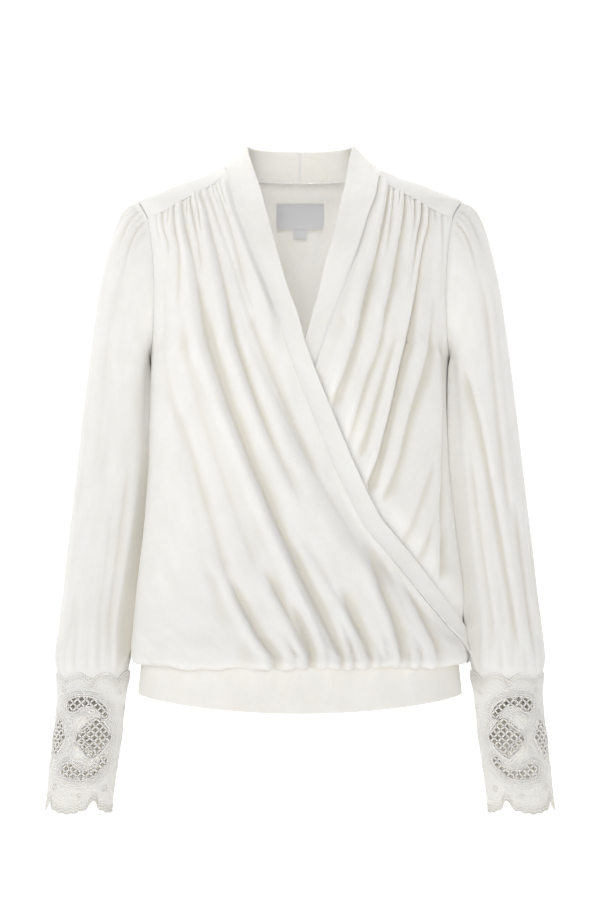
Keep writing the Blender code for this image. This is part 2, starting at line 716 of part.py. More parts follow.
def front_panel(table, folds, plain):
    # Angle, level, share down and distances to the side and the neckband of a front's
    # points, as if it were the wearer's right front.
    gap = SEAM_GAP
    side_level, share = panel_rows()
    side_angle = -np.pi / 2 + armhole_reach(side_level, "front")
    seam_angle, seam_end = band_seam(table)
    band_level = band_levels(table)
    band_angle = np.where(band_level < seam_end, seam_angle(band_level), np.pi / 2)
    across = column_shares(share, side_angle, band_angle, (side_level + band_level) / 2, folds, *plain)
    share_grid = np.repeat(share[:, None], across.shape[1], axis=1)
    side_out = body_half_width(side_level) * np.sin(side_angle)
    band_out = body_half_width(band_level) * np.sin(band_angle)
    even_out = blend(side_out[:, None], band_out[:, None], across)
    top_out = blend(side_out[0], band_out[0], across[0])
    top_level = front_yoke_seam(-top_out) + 2 * gap
    level = blend(top_level[None, :], HEM_LEVEL, share_grid)
    even_angle = blend(side_angle[:, None], band_angle[:, None], across)
    turned = soft_step(share_grid, *ANGLE_SPACING)
    angle = blend(angle_at(even_out, level), even_angle, turned)
    # Each side edge stops short of its seam by the gap.
    width = np.abs(band_out - side_out)[:, None]
    near_side = across * width
    near_band = (1 - across) * width
    inset = gap / body_half_width(level)
    angle = angle + inset * (1 - soft_step(near_side, 0, EDGE_REACH))
    angle = angle - 2 * inset * (1 - soft_step(near_band, 0, EDGE_REACH))
    return angle, level, share_grid, near_side, near_band


def wrap_cover(out, level):
    # How far a point of the under front lies past the over front's free edge.
    edge_level = -column(OVER_WRAP, "height")
    edge_out = column(OVER_WRAP, "across")
    return out - np.interp(level, edge_level, edge_out)


def make_over_front(material):
    plain = PLAIN_COLUMNS["front_over"]
    angle, level, share, near_side, near_band = front_panel(OVER_WRAP, OVER_FOLDS, plain)
    out = body_half_width(level) * np.sin(angle)
    lift = relief(out, share, near_side, near_band, OVER_FOLDS, "front")
    return add_cloth("front_over", walls(angle, level, lift, CLOTH_WALL), material)


def make_under_front(material):
    plain = PLAIN_COLUMNS["front_under"]
    angle, level, share, near_side, near_band = front_panel(UNDER_WRAP, UNDER_FOLDS, plain)
    out = body_half_width(level) * np.sin(angle)
    seen = wrap_cover(-out, level)
    lift = relief(out, share, near_side, near_band, UNDER_FOLDS, "front")
    lift = lift * soft_step(seen, *UNDER_SHOWS) + UNDER_LIFT * (1 - soft_step(seen, *UNDER_RISES))
    outer, inner = walls(angle, level, lift, CLOTH_WALL)
    return add_cloth("front_under", (mirrored(outer), mirrored(inner)), material)


def make_back(material):
    gap = SEAM_GAP
    side_level, share = panel_rows()
    reach = armhole_reach(side_level, "back") + gap / body_half_width(side_level)
    left = np.full(len(side_level), np.pi / 2) + reach
    right = np.full(len(side_level), 1.5 * np.pi) - reach
    plain = PLAIN_COLUMNS["back"]
    across = column_shares(share, left, right, side_level, BACK_FOLDS, *plain, behind=True)
    share_grid = np.repeat(share[:, None], across.shape[1], axis=1)
    end_out = body_half_width(side_level) * np.sin(left)
    even_out = blend(-end_out[:, None], end_out[:, None], across)
    top_out = np.abs(even_out[0])
    yoke_top = back_yoke_seam(top_out) + 1.5 * gap
    neck_top = back_neck_seam(top_out) + 0.4 * gap
    top = np.where(top_out > BACK_YOKE_SEAM["rows"][0][0], yoke_top, neck_top)
    level = blend(top[None, :], HEM_LEVEL, share_grid)
    even_angle = blend(left[:, None], right[:, None], across)
    turned = soft_step(share_grid, *ANGLE_SPACING)
    angle = blend(np.pi + angle_at(even_out, level), even_angle, turned)
    out = -body_half_width(level) * np.sin(angle)
    near_side = np.minimum(across, 1 - across) * 2 * end_out[:, None]
    lift = relief(out, share_grid, near_side, SIDE_EDGE, BACK_FOLDS, "back")
    return add_cloth("back", walls(angle, level, lift, CLOTH_WALL), material)


def make_hem_band(name, behind, material):
    half_width = table_curve(HEM_BAND, "share", "half_width")
    depth = table_curve(HEM_BAND, "share", "back" if behind else "front")
    turn = np.pi / 2 - SEAM_GAP / 2 / half_width(0.5)
    angles = np.linspace(-turn, turn, HEM_BAND_COLUMNS)
    angle, share = np.meshgrid(angles, np.linspace(0, 1, HEM_BAND_ROWS))
    middle_bottom = HEM_BAND_BACK_BOTTOM if behind else HEM_BAND_FRONT_BOTTOM
    bottom = blend(HEM_BAND_SIDE_BOTTOM, middle_bottom, np.cos(angle) ** 2)
    height = blend(HEM_BAND_TOP, bottom, share)
    facing = 1.0 if behind else -1.0

    def face(inset):
        x = (half_width(share) - inset) * np.sin(angle)
        fullness = 1 + BODY_FULLNESS * np.sin(angle) ** 2
        y = facing * (depth(share) - inset) * np.cos(angle) * fullness
        return np.stack([x, y, height], axis=-1)

    return add_cloth(name, (face(0.0), face(BAND_WALL)), material)


# Sleeves --------------------------------------------------------------------

def armhole_loop():
    # Points round the armhole from its top down the front and up the back, as the panels'
    # edges have them, with one more between neighbours at the gathered head.
    levels = column(ARMHOLE, "level")
    front = body_point(np.pi / 2 - armhole_reach(levels, "front"), levels)
    back = body_point(np.pi / 2 + armhole_reach(levels, "back"), levels)
    corners = np.concatenate([front, back[-2:0:-1]])
    after = np.roll(corners, -1, axis=0)
    head = len(levels) - 5
    count = len(corners)
    loop = []
    for place in range(count):
        loop.append(corners[place])
        if place < head or place >= count - head:
            loop.append((corners[place] + after[place]) / 2)
    return np.array(loop)


def sleeve_rings(loop):
    # Round each ring a point keeps its share of the armhole's length.
    steps = np.linalg.norm(np.diff(np.vstack([loop, loop[:1]]), axis=0), axis=-1)
    way = np.concatenate([[0], np.cumsum(steps)[:-1]]) / steps.sum()
    bottom = way[np.argmin(loop[:, 2])]
    half = np.where(way <= bottom, way / bottom, 1 + (way - bottom) / (1 - bottom)) * np.pi
    share = column(SLEEVE_SECTIONS, "share")[:, None]
    named = {name: column(SLEEVE_SECTIONS, name)[:, None] for name in SLEEVE_SECTIONS["columns"]}
    turn = half[None, :] + 0 * share
    lengthwise = np.cos(turn)
    x = blend(named["inner"], named["outer"], (1 + lengthwise) / 2)
    z = blend(named["inner_height"], named["outer_height"], (1 + lengthwise) / 2)
    depth = np.where(np.sin(turn) > 0, named["front"], named["back"])
    y = named["middle"] - depth * np.sin(turn) * (1 + SLEEVE_FULLNESS * lengthwise ** 2)
    rings = np.stack([x, y, z], axis=-1)
    start = loop + np.array([SLEEVE_SEAM_GAP, 0.0, 0.0])
    fade = np.clip(1 - share / HEAD_FADE, 0, 1) ** 2
    return rings + (start - rings[0]) * fade[..., None], turn, share + 0 * turn


def sleeve_relief(turn, share):
    # Gathers at the head fall in every second column, the long folds are bells, and the
    # gathers above the cuff are an even wave.
    columns = turn.shape[1]
    degrees = np.degrees(turn)
    zigzag = np.where(np.arange(columns) % 2 == 0, 0.0, 1.0)
    upper = (1 + np.cos(turn)) / 2
    head = HEAD_GATHER * zigzag * soft_step(upper, *HEAD_GATHER_SIDES)
    head = head * (1 - soft_step(share, *HEAD_GATHER_GOES))
    lift = head + HEAD_PUFF
    for row in SLEEVE_FOLDS["rows"]:
        fold = dict(zip(SLEEVE_FOLDS["columns"], row))
        line = curve_through((0, 0.5, 1), (fold["head"], fold["elbow"], fold["cuff"]))(share)
        away = (degrees - line + 180) % 360 - 180
        run = soft_step(share, fold["start"], fold["start"] + FOLD_RISE)
        run = run * (1 - soft_step(share, fold["end"] - FOLD_FALL, fold["end"]))
        lift = lift - fold["depth"] * np.exp(-(away / fold["width"]) ** 2) * run
    rise = soft_step(share, *CUFF_GATHER_COMES) * (1 - soft_step(share, *CUFF_GATHER_GOES))
    lift = lift + CUFF_GATHER * 0.5 * (1 + np.cos(CUFF_GATHERS * turn)) * rise
    # The folds keep clear of the body on the inner side.
    clear = 1 - soft_step(-np.cos(turn), *INNER_SIDE_PLAIN)
    return lift * soft_step(share, *HEAD_GATHER_COMES) * clear


def grid_normals(points):
    # Outward normals of a tube's grid, whose columns close on themselves.
    round_it = np.roll(points, -1, axis=1) - np.roll(points, 1, axis=1)
    down_it = np.gradient(points, axis=0)
    normal = np.cross(round_it, down_it)
    return normal / np.linalg.norm(normal, axis=-1, keepdims=True)


def make_sleeve(name, side, material):
    rings, turn, share = sleeve_rings(armhole_loop())
    normal = grid_normals(rings)
    lift = sleeve_relief(turn, share)[..., None]
    outer = rings + normal * lift
    inner = rings + normal * (lift - CLOTH_WALL)
    if side < 0:
        outer = mirrored(outer)
        inner = mirrored(inner)
    return add_cloth(name, (outer, inner), material, tube=True)


# Lace cuffs -----------------------------------------------------------------

def lace_outline():
    # Edge of one cuff half, laid flat. The upper edge is a row of round peaks, and the hem
    # has wide lobes parted by narrow notches, both repeating so that the halves match.
    half = CUFF_HALF_GIRTH - SEAM_GAP / 2
    across = np.linspace(-half, half, LACE_EDGE_COLUMNS)
    top = SCALLOP_TOP_DEPTH * (1 - np.abs(np.cos(np.pi * across / SCALLOP_TOP_STEP)))
    lobes = np.abs(np.sin(np.pi * (across - HEM_NOTCH_PLACE) / HEM_LOBE_STEP)) ** HEM_LOBE_ROUNDNESS
    bottom = CUFF_LENGTH - HEM_NOTCH_DEPTH * (1 - lobes)
    upper = np.stack([across, top], axis=-1)
    lower = np.stack([across, bottom], axis=-1)
    return np.concatenate([upper, lower[::-1]])


def net_hole(across, down, tilt):
    # A square hole standing on a corner, turned by the tilt.
    turns = tilt + np.arange(4) * np.pi / 2
    return [(across + NET_HOLE * np.cos(turn), down + NET_HOLE * np.sin(turn)) for turn in turns]


def diamond_holes():
    # Rows set half a step apart, kept where they lie inside a diamond.
    holes = []
    for across_middle, down_middle, half_width, half_height in NET_DIAMONDS["rows"]:
        rows = int(2 * half_height / NET_PITCH)
        places = int(half_width / NET_PITCH) + 1
        for row in range(-rows, rows + 1):
            down = row * NET_PITCH / 2
            for place in range(-places, places + 1):
                across = (place + 0.5 * (row % 2)) * NET_PITCH
                if abs(across) / half_width + abs(down) / half_height < NET_DIAMOND_FILL:
                    holes.append(net_hole(across_middle + across, down_middle + down, 0.0))
    return holes


def arc_holes():
    holes = []
    for across_middle, down_middle, radius, from_angle, to_angle in NET_ARCS["rows"]:
        step = ARC_STEP / radius
        count = int(np.radians(to_angle - from_angle) / step)
        for place in range(2 * count):
            turn = np.radians(from_angle) + place * step / 2
            reach = radius + ARC_ROW_OFFSET * (1 if place % 2 else -1)
            across = across_middle + reach * np.cos(turn)
            down = down_middle + reach * np.sin(turn)
            holes.append(net_hole(across, down, turn))
    return holes


def eyelet_holes():
    holes = []
    for across, down, radius in EYELETS["rows"]:
        turns = np.arange(6) * np.pi / 3
        holes.append([(across + radius * np.cos(turn), down + radius * np.sin(turn)) for turn in turns])
    return holes


def lace_holes():
    # The net's holes, leaving out those of an arc that would meet a diamond's.
    holes = diamond_holes()
    middles = [np.mean(hole, axis=0) for hole in holes]
    for hole in arc_holes():
        middle = np.mean(hole, axis=0)
        if all(np.hypot(*(middle - other)) > HOLES_APART for other in middles):
            holes.append(hole)
    return holes + eyelet_holes()


def inside_polygon(point, polygon):
    x, y = point
    within = False
    for start, end in zip(polygon, polygon[1:] + polygon[:1]):
        if (start[1] > y) != (end[1] > y):
            if x < start[0] + (y - start[1]) * (end[0] - start[0]) / (end[1] - start[1]):
                within = not within
    return within


def lace_triangles():
    # Flat triangles of one cuff half, with spare points that let it bend round the wrist.
    outline = [tuple(point) for point in lace_outline()]
    holes = lace_holes()
    loops = [outline] + holes
    points = []
    edges = []
    for loop in loops:
        first = len(points)
        points += loop
        edges += [(first + place, first + (place + 1) % len(loop)) for place in range(len(loop))]
    for across in BEND_ACROSS:
        for down in BEND_DOWN:
            near = min(np.hypot(*(np.mean(hole, axis=0) - (across, down))) for hole in holes)
            if near > BEND_CLEAR:
                points.append((across, down))
    flat = [Vector(point) for point in points]
    made, _, triangles, _, _, _ = delaunay_2d_cdt(flat, edges, [], 0, 1e-4)
    made = np.array([tuple(point) for point in made])
    kept = []
    for triangle in triangles:
        middle = made[list(triangle)].mean(axis=0)
        in_hole = any(inside_polygon(middle, hole) for hole in holes)
        if inside_polygon(middle, outline) and not in_hole:
            kept.append(tuple(triangle))
    return made, kept


def cuff_point(across, down, inset, behind):
    # The back half repeats the front one, turned over.
    height = CUFF_TOP - down
    across = -across if behind else across
    stops = column(CUFF_SECTIONS, "height")[::-1]
    outer = curve_through(stops, column(CUFF_SECTIONS, "outer")[::-1])(height)
    inner = curve_through(stops, column(CUFF_SECTIONS, "inner")[::-1])(height)
    depth = curve_through(stops, column(CUFF_SECTIONS, "back" if behind else "front")[::-1])(height)
    turn = across / CUFF_HALF_GIRTH * np.pi / 2
    x = (outer + inner) / 2 - ((outer - inner) / 2 - inset) * np.sin(turn)
    facing = 1.0 if behind else -1.0
    y = CUFF_MIDDLE + facing * (depth - inset) * np.cos(turn)
    return np.stack([x, y, height], axis=-1)


def make_cuff(name, side, behind, flat, triangles, material):
    count = len(flat)
    outer = cuff_point(flat[:, 0], flat[:, 1], 0.0, behind)
    inner = cuff_point(flat[:, 0], flat[:, 1], LACE_WALL, behind)
    if side < 0:
        outer = mirrored(outer)
        inner = mirrored(inner)
    directed = {(one[k], one[(k + 1) % 3]) for one in triangles for k in range(3)}
    rim = [pair for pair in directed if (pair[1], pair[0]) not in directed]
    faces = list(triangles)
    faces += [tuple(corner + count for corner in one[::-1]) for one in triangles]
    faces += [(end, start, start + count, end + count) for start, end in sorted(rim)]
    return add_solid(name, np.concatenate([outer, inner]), faces, material)


# Label ----------------------------------------------------------------------

def make_label(name, width, levels, material):
    out = np.linspace(-width / 2, width / 2, LABEL_COLUMNS)
    out, level = np.meshgrid(out, np.linspace(*levels, LABEL_ROWS))
    angle = np.pi - angle_at(out, level)
    return add_cloth(name, walls(angle, level, -CLOTH_WALL - LABEL_INSET, LABEL_WALL), material)


def build():
    for item in list(bpy.data.objects):
        bpy.data.objects.remove(item, do_unlink=True)
    jersey = cloth_material("ivory_jersey", (0.86, 0.84, 0.79), 0.85)
    band = cloth_material("ivory_band", (0.85, 0.83, 0.78), 0.85)
    lace = cloth_material("ivory_lace", (0.84, 0.80, 0.72), 0.75)
    satin = cloth_material("label_satin", (0.80, 0.80, 0.86), 0.45)
    make_over_front(jersey)
    make_under_front(jersey)
    make_back(jersey)
    flat, triangles = lace_triangles()
    for side, hand in ((-1, "right"), (1, "left")):
        make_yoke("yoke_" + hand, side, jersey)
        make_sleeve("sleeve_" + hand, side, jersey)
        make_cuff("cuff_front_" + hand, side, False, flat, triangles, lace)
        make_cuff("cuff_back_" + hand, side, True, flat, triangles, lace)
    make_neckband("neckband_right", -1, OVER_WRAP, band)
    make_neckband("neckband_left", 1, UNDER_WRAP, band)
    make_hem_band("hem_band_front", False, band)
    make_hem_band("hem_band_back", True, band)
    make_label("label", LABEL_WIDTH, LABEL_LEVELS, satin)
    make_label("size_tab", TAB_WIDTH, TAB_LEVELS, satin)


build()
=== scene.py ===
# A long-sleeved wrap top in brushed ivory jersey, with gathered crossover fronts and lace cuffs.
# Sizes are in millimetres until a mesh is made. A place on the body is an angle round it,
# 0 at the centre front and minus towards the wearer's right, and a level, the way down
# from the shoulders. "Out" is the distance from the middle plane, plus to the wearer's left.
import bpy
import numpy as np
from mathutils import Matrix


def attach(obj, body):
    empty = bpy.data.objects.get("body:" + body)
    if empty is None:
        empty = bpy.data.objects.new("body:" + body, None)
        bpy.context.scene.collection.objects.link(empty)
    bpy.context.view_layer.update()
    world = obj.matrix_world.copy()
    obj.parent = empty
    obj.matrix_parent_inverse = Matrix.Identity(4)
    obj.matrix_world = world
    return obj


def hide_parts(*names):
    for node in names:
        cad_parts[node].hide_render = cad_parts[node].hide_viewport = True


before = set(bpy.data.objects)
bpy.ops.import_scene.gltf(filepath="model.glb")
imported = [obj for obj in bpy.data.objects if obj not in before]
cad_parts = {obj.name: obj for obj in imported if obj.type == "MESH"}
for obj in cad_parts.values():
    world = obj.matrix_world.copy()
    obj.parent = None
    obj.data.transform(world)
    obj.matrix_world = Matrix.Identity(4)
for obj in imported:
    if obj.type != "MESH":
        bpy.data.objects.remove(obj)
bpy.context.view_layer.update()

mm = 0.001
angleStep, levelStep = 0.01, 0.5       # small steps on the body, in radians and millimetres
cloudWaves, cloudLengths = 7, (0.6, 1.8)
print("frame loaded:", len(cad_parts), "solids")


def cubicPiece(first, last, start, end, share):
    # from first to last, leaving with the slope start and arriving with the slope end
    rise = last - first
    return first + share * (start + share * (3 * rise - 2 * start - end + share * (start + end - 2 * rise)))


def smoothCurve(stops, values):
    # a cubic through the stops whose slope at each is the harmonic mean of its neighbours'
    stops = np.asarray(stops, float)
    values = np.asarray(values, float)
    gaps = np.diff(stops)
    slopes = np.diff(values) / gaps
    before, after = slopes[:-1], slopes[1:]
    total = np.where(before + after == 0, 1.0, before + after)
    inner = np.where(before * after > 0, 2 * before * after / total, 0.0)
    tangents = np.concatenate([slopes[:1], inner, slopes[-1:]])

    def at(where):
        where = np.clip(where, stops[0], stops[-1])
        cell = np.clip(np.searchsorted(stops, where, side="right") - 1, 0, len(gaps) - 1)
        share = (where - stops[cell]) / gaps[cell]
        start, end = tangents[cell] * gaps[cell], tangents[cell + 1] * gaps[cell]
        return cubicPiece(values[cell], values[cell + 1], start, end, share)

    return at


def splineAt(keys, points, where):
    # cubic pieces through the points, each tangent taken from the two neighbours
    keys, points = np.asarray(keys, float), np.asarray(points, float)
    tangents = np.gradient(points, keys, axis=0)
    cell = np.clip(np.searchsorted(keys, where, side="right") - 1, 0, len(keys) - 2)
    gap = (keys[cell + 1] - keys[cell])[:, None]
    share = (where - keys[cell])[:, None] / gap
    return cubicPiece(points[cell], points[cell + 1], tangents[cell] * gap, tangents[cell + 1] * gap, share)


def ease(value, low, high):
    # from 0 at low to 1 at high, flat at both: 3 share squared less 2 share cubed
    share = np.clip((value - low) / (high - low), 0.0, 1.0)
    return share * share * (3 - 2 * share)


def fade(value, low, high):
    return 1 - ease(value, low, high)


def between(value, rise, fall):
    # up from 0 to 1 over the first pair of values, and down again over the second
    return ease(value, *rise) * fade(value, *fall)


def mix(first, second, share):
    return first + (second - first) * share


def bell(distance, width):
    # e to the minus square of the distance in widths
    return np.exp(-(distance / width) ** 2)


def denseEnds(count, pull):
    # shares from 0 to 1 whose steps are smaller near both ends
    t = np.linspace(0, 1, count)
    return t - pull * np.sin(2 * np.pi * t) / (2 * np.pi)


def cloud(first, second, scale, seed):
    # soft unevenness: a few slanting waves of unlike lengths added together
    rng = np.random.default_rng(seed)
    total = 0.0
    for _ in range(cloudWaves):
        way = rng.uniform(0, 2 * np.pi)
        length = scale * rng.uniform(*cloudLengths)
        phase = rng.uniform(0, 2 * np.pi)
        total = total + np.sin((first * np.cos(way) + second * np.sin(way)) * 2 * np.pi / length + phase)
    return total / cloudWaves


bodyForm = {   # level, height, half width, front depth, back depth of stacked ovals
    "rows": ((-6, 6, 70, 40, 46), (-2, 2, 79, 44, 50), (4, -4, 96, 50, 56), (11, -11, 111, 57, 62),
             (17, -17, 131, 62, 67), (24, -24, 148, 67, 71), (30, -30, 165, 71, 75),
             (35, -35, 175.5, 74, 78), (55, -55, 176.5, 84, 86), (84, -84, 174, 94, 92),
             (128, -128, 169, 104, 96), (165, -165, 165, 110, 98), (205, -205, 161, 113, 98),
             (248, -248, 159.5, 113, 95), (310, -310, 161, 110, 90), (389, -389, 167.5, 108, 92),
             (434, -434, 173, 110, 97), (497, -497, 179.5, 113, 102), (515, -514, 181.5, 115, 104),
             (524, -522, 181.5, 115, 104), (531, -527.5, 180, 113.5, 102.5), (538, -530.5, 177, 111, 100),
             (545, -531, 172.4, 107.4, 96.4)),
    "squareness": 0.25,      # how far the ovals' corners fill out
    "hemLevel": 545,
    "armhole": ((35, 0, 0), (36.5, 8, 8), (40, 13, 13), (46, 18, 17.5), (55, 22.5, 21), (68, 23.8, 22.6),
                (95, 24.4, 23.2), (128, 22.8, 22.4), (160, 19.5, 19.5), (183, 14.5, 15), (198, 7.5, 8),
                (205, 0, 0)),   # level, degrees round from the side at the front and at the back
    "armholeTop": 35,
    "yokeLevel": 55,
    "frontYokeSeam": ((77, 1.5), (87, 13), (98, 21.5), (115, 30.5), (131, 40), (147, 48.5), (163, 55)),
    "backYokeSeam": ((76, 3.5), (84, 9), (100, 18), (130, 33), (165, 55)),
    "backNeckSeam": ((0, 9.6), (25, 9.4), (50, 7.8), (70, 5.2), (76, 3.5)),
    "neckOut": 79,
}
formRows = np.array(bodyForm["rows"], float)
formHeight, formHalfWidth, formFront, formBack = (smoothCurve(formRows[:, 0], formRows[:, k])
                                                  for k in (1, 2, 3, 4))
armholeRows = np.array(bodyForm["armhole"], float)
armholeReachOf = {"front": smoothCurve(armholeRows[:, 0], armholeRows[:, 1]),
                  "back": smoothCurve(armholeRows[:, 0], armholeRows[:, 2])}
frontYokeSeam, backYokeSeam, backNeckSeam = (smoothCurve(*np.array(bodyForm[name], float).T) for name in
                                             ("frontYokeSeam", "backYokeSeam", "backNeckSeam"))


def bodyPoint(angle, level):
    # x = half width * sine; y = -depth * cosine * (1 + squareness * sine squared)
    depth = np.where(np.cos(angle) > 0, formFront(level), formBack(level))
    x = formHalfWidth(level) * np.sin(angle)
    y = -depth * np.cos(angle) * (1 + bodyForm["squareness"] * np.sin(angle) ** 2)
    return np.stack([x, y, formHeight(level) + 0 * x], axis=-1)


def bodyWays(angle, level):
    # the ways round and down the body, across small steps
    roundIt = bodyPoint(angle + angleStep, level) - bodyPoint(angle - angleStep, level)
    downIt = bodyPoint(angle, level + levelStep) - bodyPoint(angle, level - levelStep)
    return roundIt, downIt


def unit(ways):
    return ways / np.linalg.norm(ways, axis=-1, keepdims=True)


def bodyNormal(angle, level):
    # cross product of the ways down and round
    roundIt, downIt = bodyWays(angle, level)
    return unit(np.cross(downIt, roundIt))


def wayAlong(points):
    # distance along a line of points from its start
    return np.concatenate([[0], np.cumsum(np.linalg.norm(np.diff(points, axis=0), axis=1))])


def angleAt(out, level):
    # the angle whose sine is the share of the half width
    return np.arcsin(np.clip(out / formHalfWidth(level), -1.0, 1.0))


def armholeReach(level, face):
    reach = np.radians(armholeReachOf[face](level))
    return np.where(np.asarray(level) >= armholeRows[-1, 0], 0.0, reach)


ridgeLevels = np.linspace(formRows[0, 0], bodyForm["armholeTop"], 800)
ridgeWidths = formHalfWidth(ridgeLevels)


def ridgeLevel(out):
    return np.interp(out, ridgeWidths, ridgeLevels)


def gridQuads(rows, columns, closed=False):
    # four neighbours a face; a closed grid goes on from its last column to its first
    index = np.arange(rows * columns).reshape(rows, columns)
    if closed:
        index = np.hstack([index, index[:, :1]])
    corners = (index[:-1, :-1], index[1:, :-1], index[1:, 1:], index[:-1, 1:])
    return np.stack(corners, axis=-1).reshape(-1, 4)


def wallBetween(outer, inner, quads):
    # both faces of a wall, and a rim wherever a quad has no neighbour
    count = len(outer)
    start = quads.ravel().astype(np.int64)
    end = np.roll(quads, -1, axis=1).ravel().astype(np.int64)
    free = ~np.isin(start * count + end, end * count + start)
    start, end = start[free], end[free]
    rim = np.stack([end, start, start + count, end + count], axis=-1)
    return np.concatenate([outer, inner]), np.concatenate([quads, quads[:, ::-1] + count, rim])


def addPiece(name, points, quads, material, attributes=None, uv=None, sharp=50):
    # a mesh from whole arrays, turned to face outwards by its signed volume
    a, b, c, d = (points[quads[:, k]] for k in range(4))
    volume = np.einsum("ij,ij->i", a, np.cross(b, c)).sum() + np.einsum("ij,ij->i", a, np.cross(c, d)).sum()
    if volume < 0:
        quads = quads[:, ::-1]
    mesh = bpy.data.meshes.new(name)
    mesh.vertices.add(len(points))
    mesh.vertices.foreach_set("co", (points * mm).astype(np.float32).ravel())
    mesh.loops.add(quads.size)
    mesh.loops.foreach_set("vertex_index", quads.astype(np.int32).ravel())
    mesh.polygons.add(len(quads))
    mesh.polygons.foreach_set("loop_start", np.arange(0, quads.size, 4, dtype=np.int32))
    mesh.update(calc_edges=True)
    if uv is not None:
        layer = mesh.uv_layers.new(name="cloth")
        layer.data.foreach_set("uv", (uv * mm)[quads.ravel()].astype(np.float32).ravel())
    for key, values in (attributes or {}).items():
        mesh.attributes.new(key, "FLOAT", "POINT").data.foreach_set("value", values.astype(np.float32))
    mesh.shade_smooth()
    mesh.set_sharp_from_angle(angle=np.radians(sharp))
    mesh.materials.append(material)
    piece = bpy.data.objects.new(name, mesh)
    bpy.context.collection.objects.link(piece)
    return piece


def addCloth(name, outer, inner, material, uv, closed=False, creaseShade=None):
    # both faces of a cloth from its grids, with its places on the cloth and how deep its folds are, which
    # sets their painted shade
    rows, columns = outer.shape[:2]
    quads = gridQuads(rows, columns, closed)
    points, quads = wallBetween(outer.reshape(-1, 3), inner.reshape(-1, 3), quads)
    uvBoth = np.concatenate([uv.reshape(-1, 2)] * 2)
    creaseShade = np.zeros((rows, columns)) if creaseShade is None else creaseShade
    creases = {"creaseShade": np.concatenate([creaseShade.ravel()] * 2)}
    return addPiece(name, points, quads, material, creases, uvBoth)


allowance = {"length": 3.0, "depth": 2.6, "wall": 0.8, "step": 0.15}


def seamAllowance(outer, inner, axis, atEnd, length=allowance["length"], depth=allowance["depth"]):
    # cloth beyond an edge, stepped down so that it lies under the piece that it is sewn to
    edge, before = (outer.take([-k if atEnd else k - 1], axis) for k in (1, 2))
    edgeInner = inner.take([-1 if atEnd else 0], axis)
    onward = unit(edge - before)
    inward = edgeInner - edge
    inward /= np.maximum(np.linalg.norm(inward, axis=-1, keepdims=True), 1e-6)
    step, tail = (edge + inward * depth + onward * far for far in (allowance["step"], length))
    faces = []
    for face, shift in ((outer, 0), (inner, inward * allowance["wall"])):
        strips = [face, step + shift, tail + shift]
        faces.append(np.concatenate(strips if atEnd else strips[::-1], axis=axis))
    return faces


def mirrored(points, over=True):
    return points * np.array([-1.0 if over else 1.0, 1.0, 1.0])


def settle(piece, nodes):
    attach(piece, "root")
    if nodes:
        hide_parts(*nodes)


def newMaterial(name):
    material = bpy.data.materials.new(name)
    material.use_nodes = True
    tree = material.node_tree
    return material, tree, tree.nodes["Principled BSDF"]


def addNode(tree, kind, **values):
    node = tree.nodes.new(kind)
    for key, value in values.items():
        if key in node.inputs:
            node.inputs[key].default_value = value
        else:
            setattr(node, key, value)
    return node


def noiseOn(tree, scale, detail, stretch=(1, 1, 1), roughness=0.6):
    # noise on the cloth's own way round and down, in metres
    place = addNode(tree, "ShaderNodeTexCoord")
    mapping = addNode(tree, "ShaderNodeMapping", Scale=stretch)
    tree.links.new(place.outputs["UV"], mapping.inputs["Vector"])
    noise = addNode(tree, "ShaderNodeTexNoise", Scale=scale, Detail=detail, Roughness=roughness)
    tree.links.new(mapping.outputs["Vector"], noise.inputs["Vector"])
    return noise.outputs["Fac"]


def mixNumber(tree, kind, first, second):
    node = addNode(tree, "ShaderNodeMath", operation=kind)
    for slot, value in enumerate((first, second)):
        if isinstance(value, (int, float)):
            node.inputs[slot].default_value = value
        else:
            tree.links.new(value, node.inputs[slot])
    return node.outputs[0]


def weighed(tree, kind, first, firstWeight, second, secondWeight):
    # the sum or difference of two numbers, each times its weight
    return mixNumber(tree, kind, mixNumber(tree, "MULTIPLY", first, firstWeight),
                     mixNumber(tree, "MULTIPLY", second, secondWeight))


def rangeOf(tree, value, low, high, least=0.0, most=1.0):
    # from least to most as the value goes from low to high
    limits = {"From Min": low, "From Max": high, "To Min": least, "To Max": most}
    node = addNode(tree, "ShaderNodeMapRange", **limits)
    tree.links.new(value, node.inputs["Value"])
    return node.outputs["Result"]


def mixColour(tree, first, second, share):
    node = addNode(tree, "ShaderNodeMix", data_type="RGBA")
    for inlet, colour in (("A", first), ("B", second)):
        if isinstance(colour, tuple):
            node.inputs[inlet].default_value = (*colour, 1)
        else:
            tree.links.new(colour, node.inputs[inlet])
    tree.links.new(share, node.inputs["Factor"])
    return node.outputs["Result"]


def attributeOf(tree, name):
    return addNode(tree, "ShaderNodeAttribute", attribute_name=name).outputs["Fac"]


def finishShader(tree, shader, colour, height, bump, bumpDepth, **values):
    # the surface's colour, its relief from a height, and what is the same all over it
    tree.links.new(colour, shader.inputs["Base Color"])
    relief = addNode(tree, "ShaderNodeBump", Strength=bump, Distance=bumpDepth)
    tree.links.new(height, relief.inputs["Height"])
    tree.links.new(relief.outputs["Normal"], shader.inputs["Normal"])
    for key, value in values.items():
        shader.inputs[key].default_value = value


lightReach = (1.0, 0.95, 0.85)      # how far red, green and blue go, as shares of a cloth's depth


def letThrough(look):
    # light goes into the cloth and comes out again close by, or on its other face
    return {"Subsurface Weight": look["through"], "Subsurface Radius": lightReach,
            "Subsurface Scale": look["depth"]}


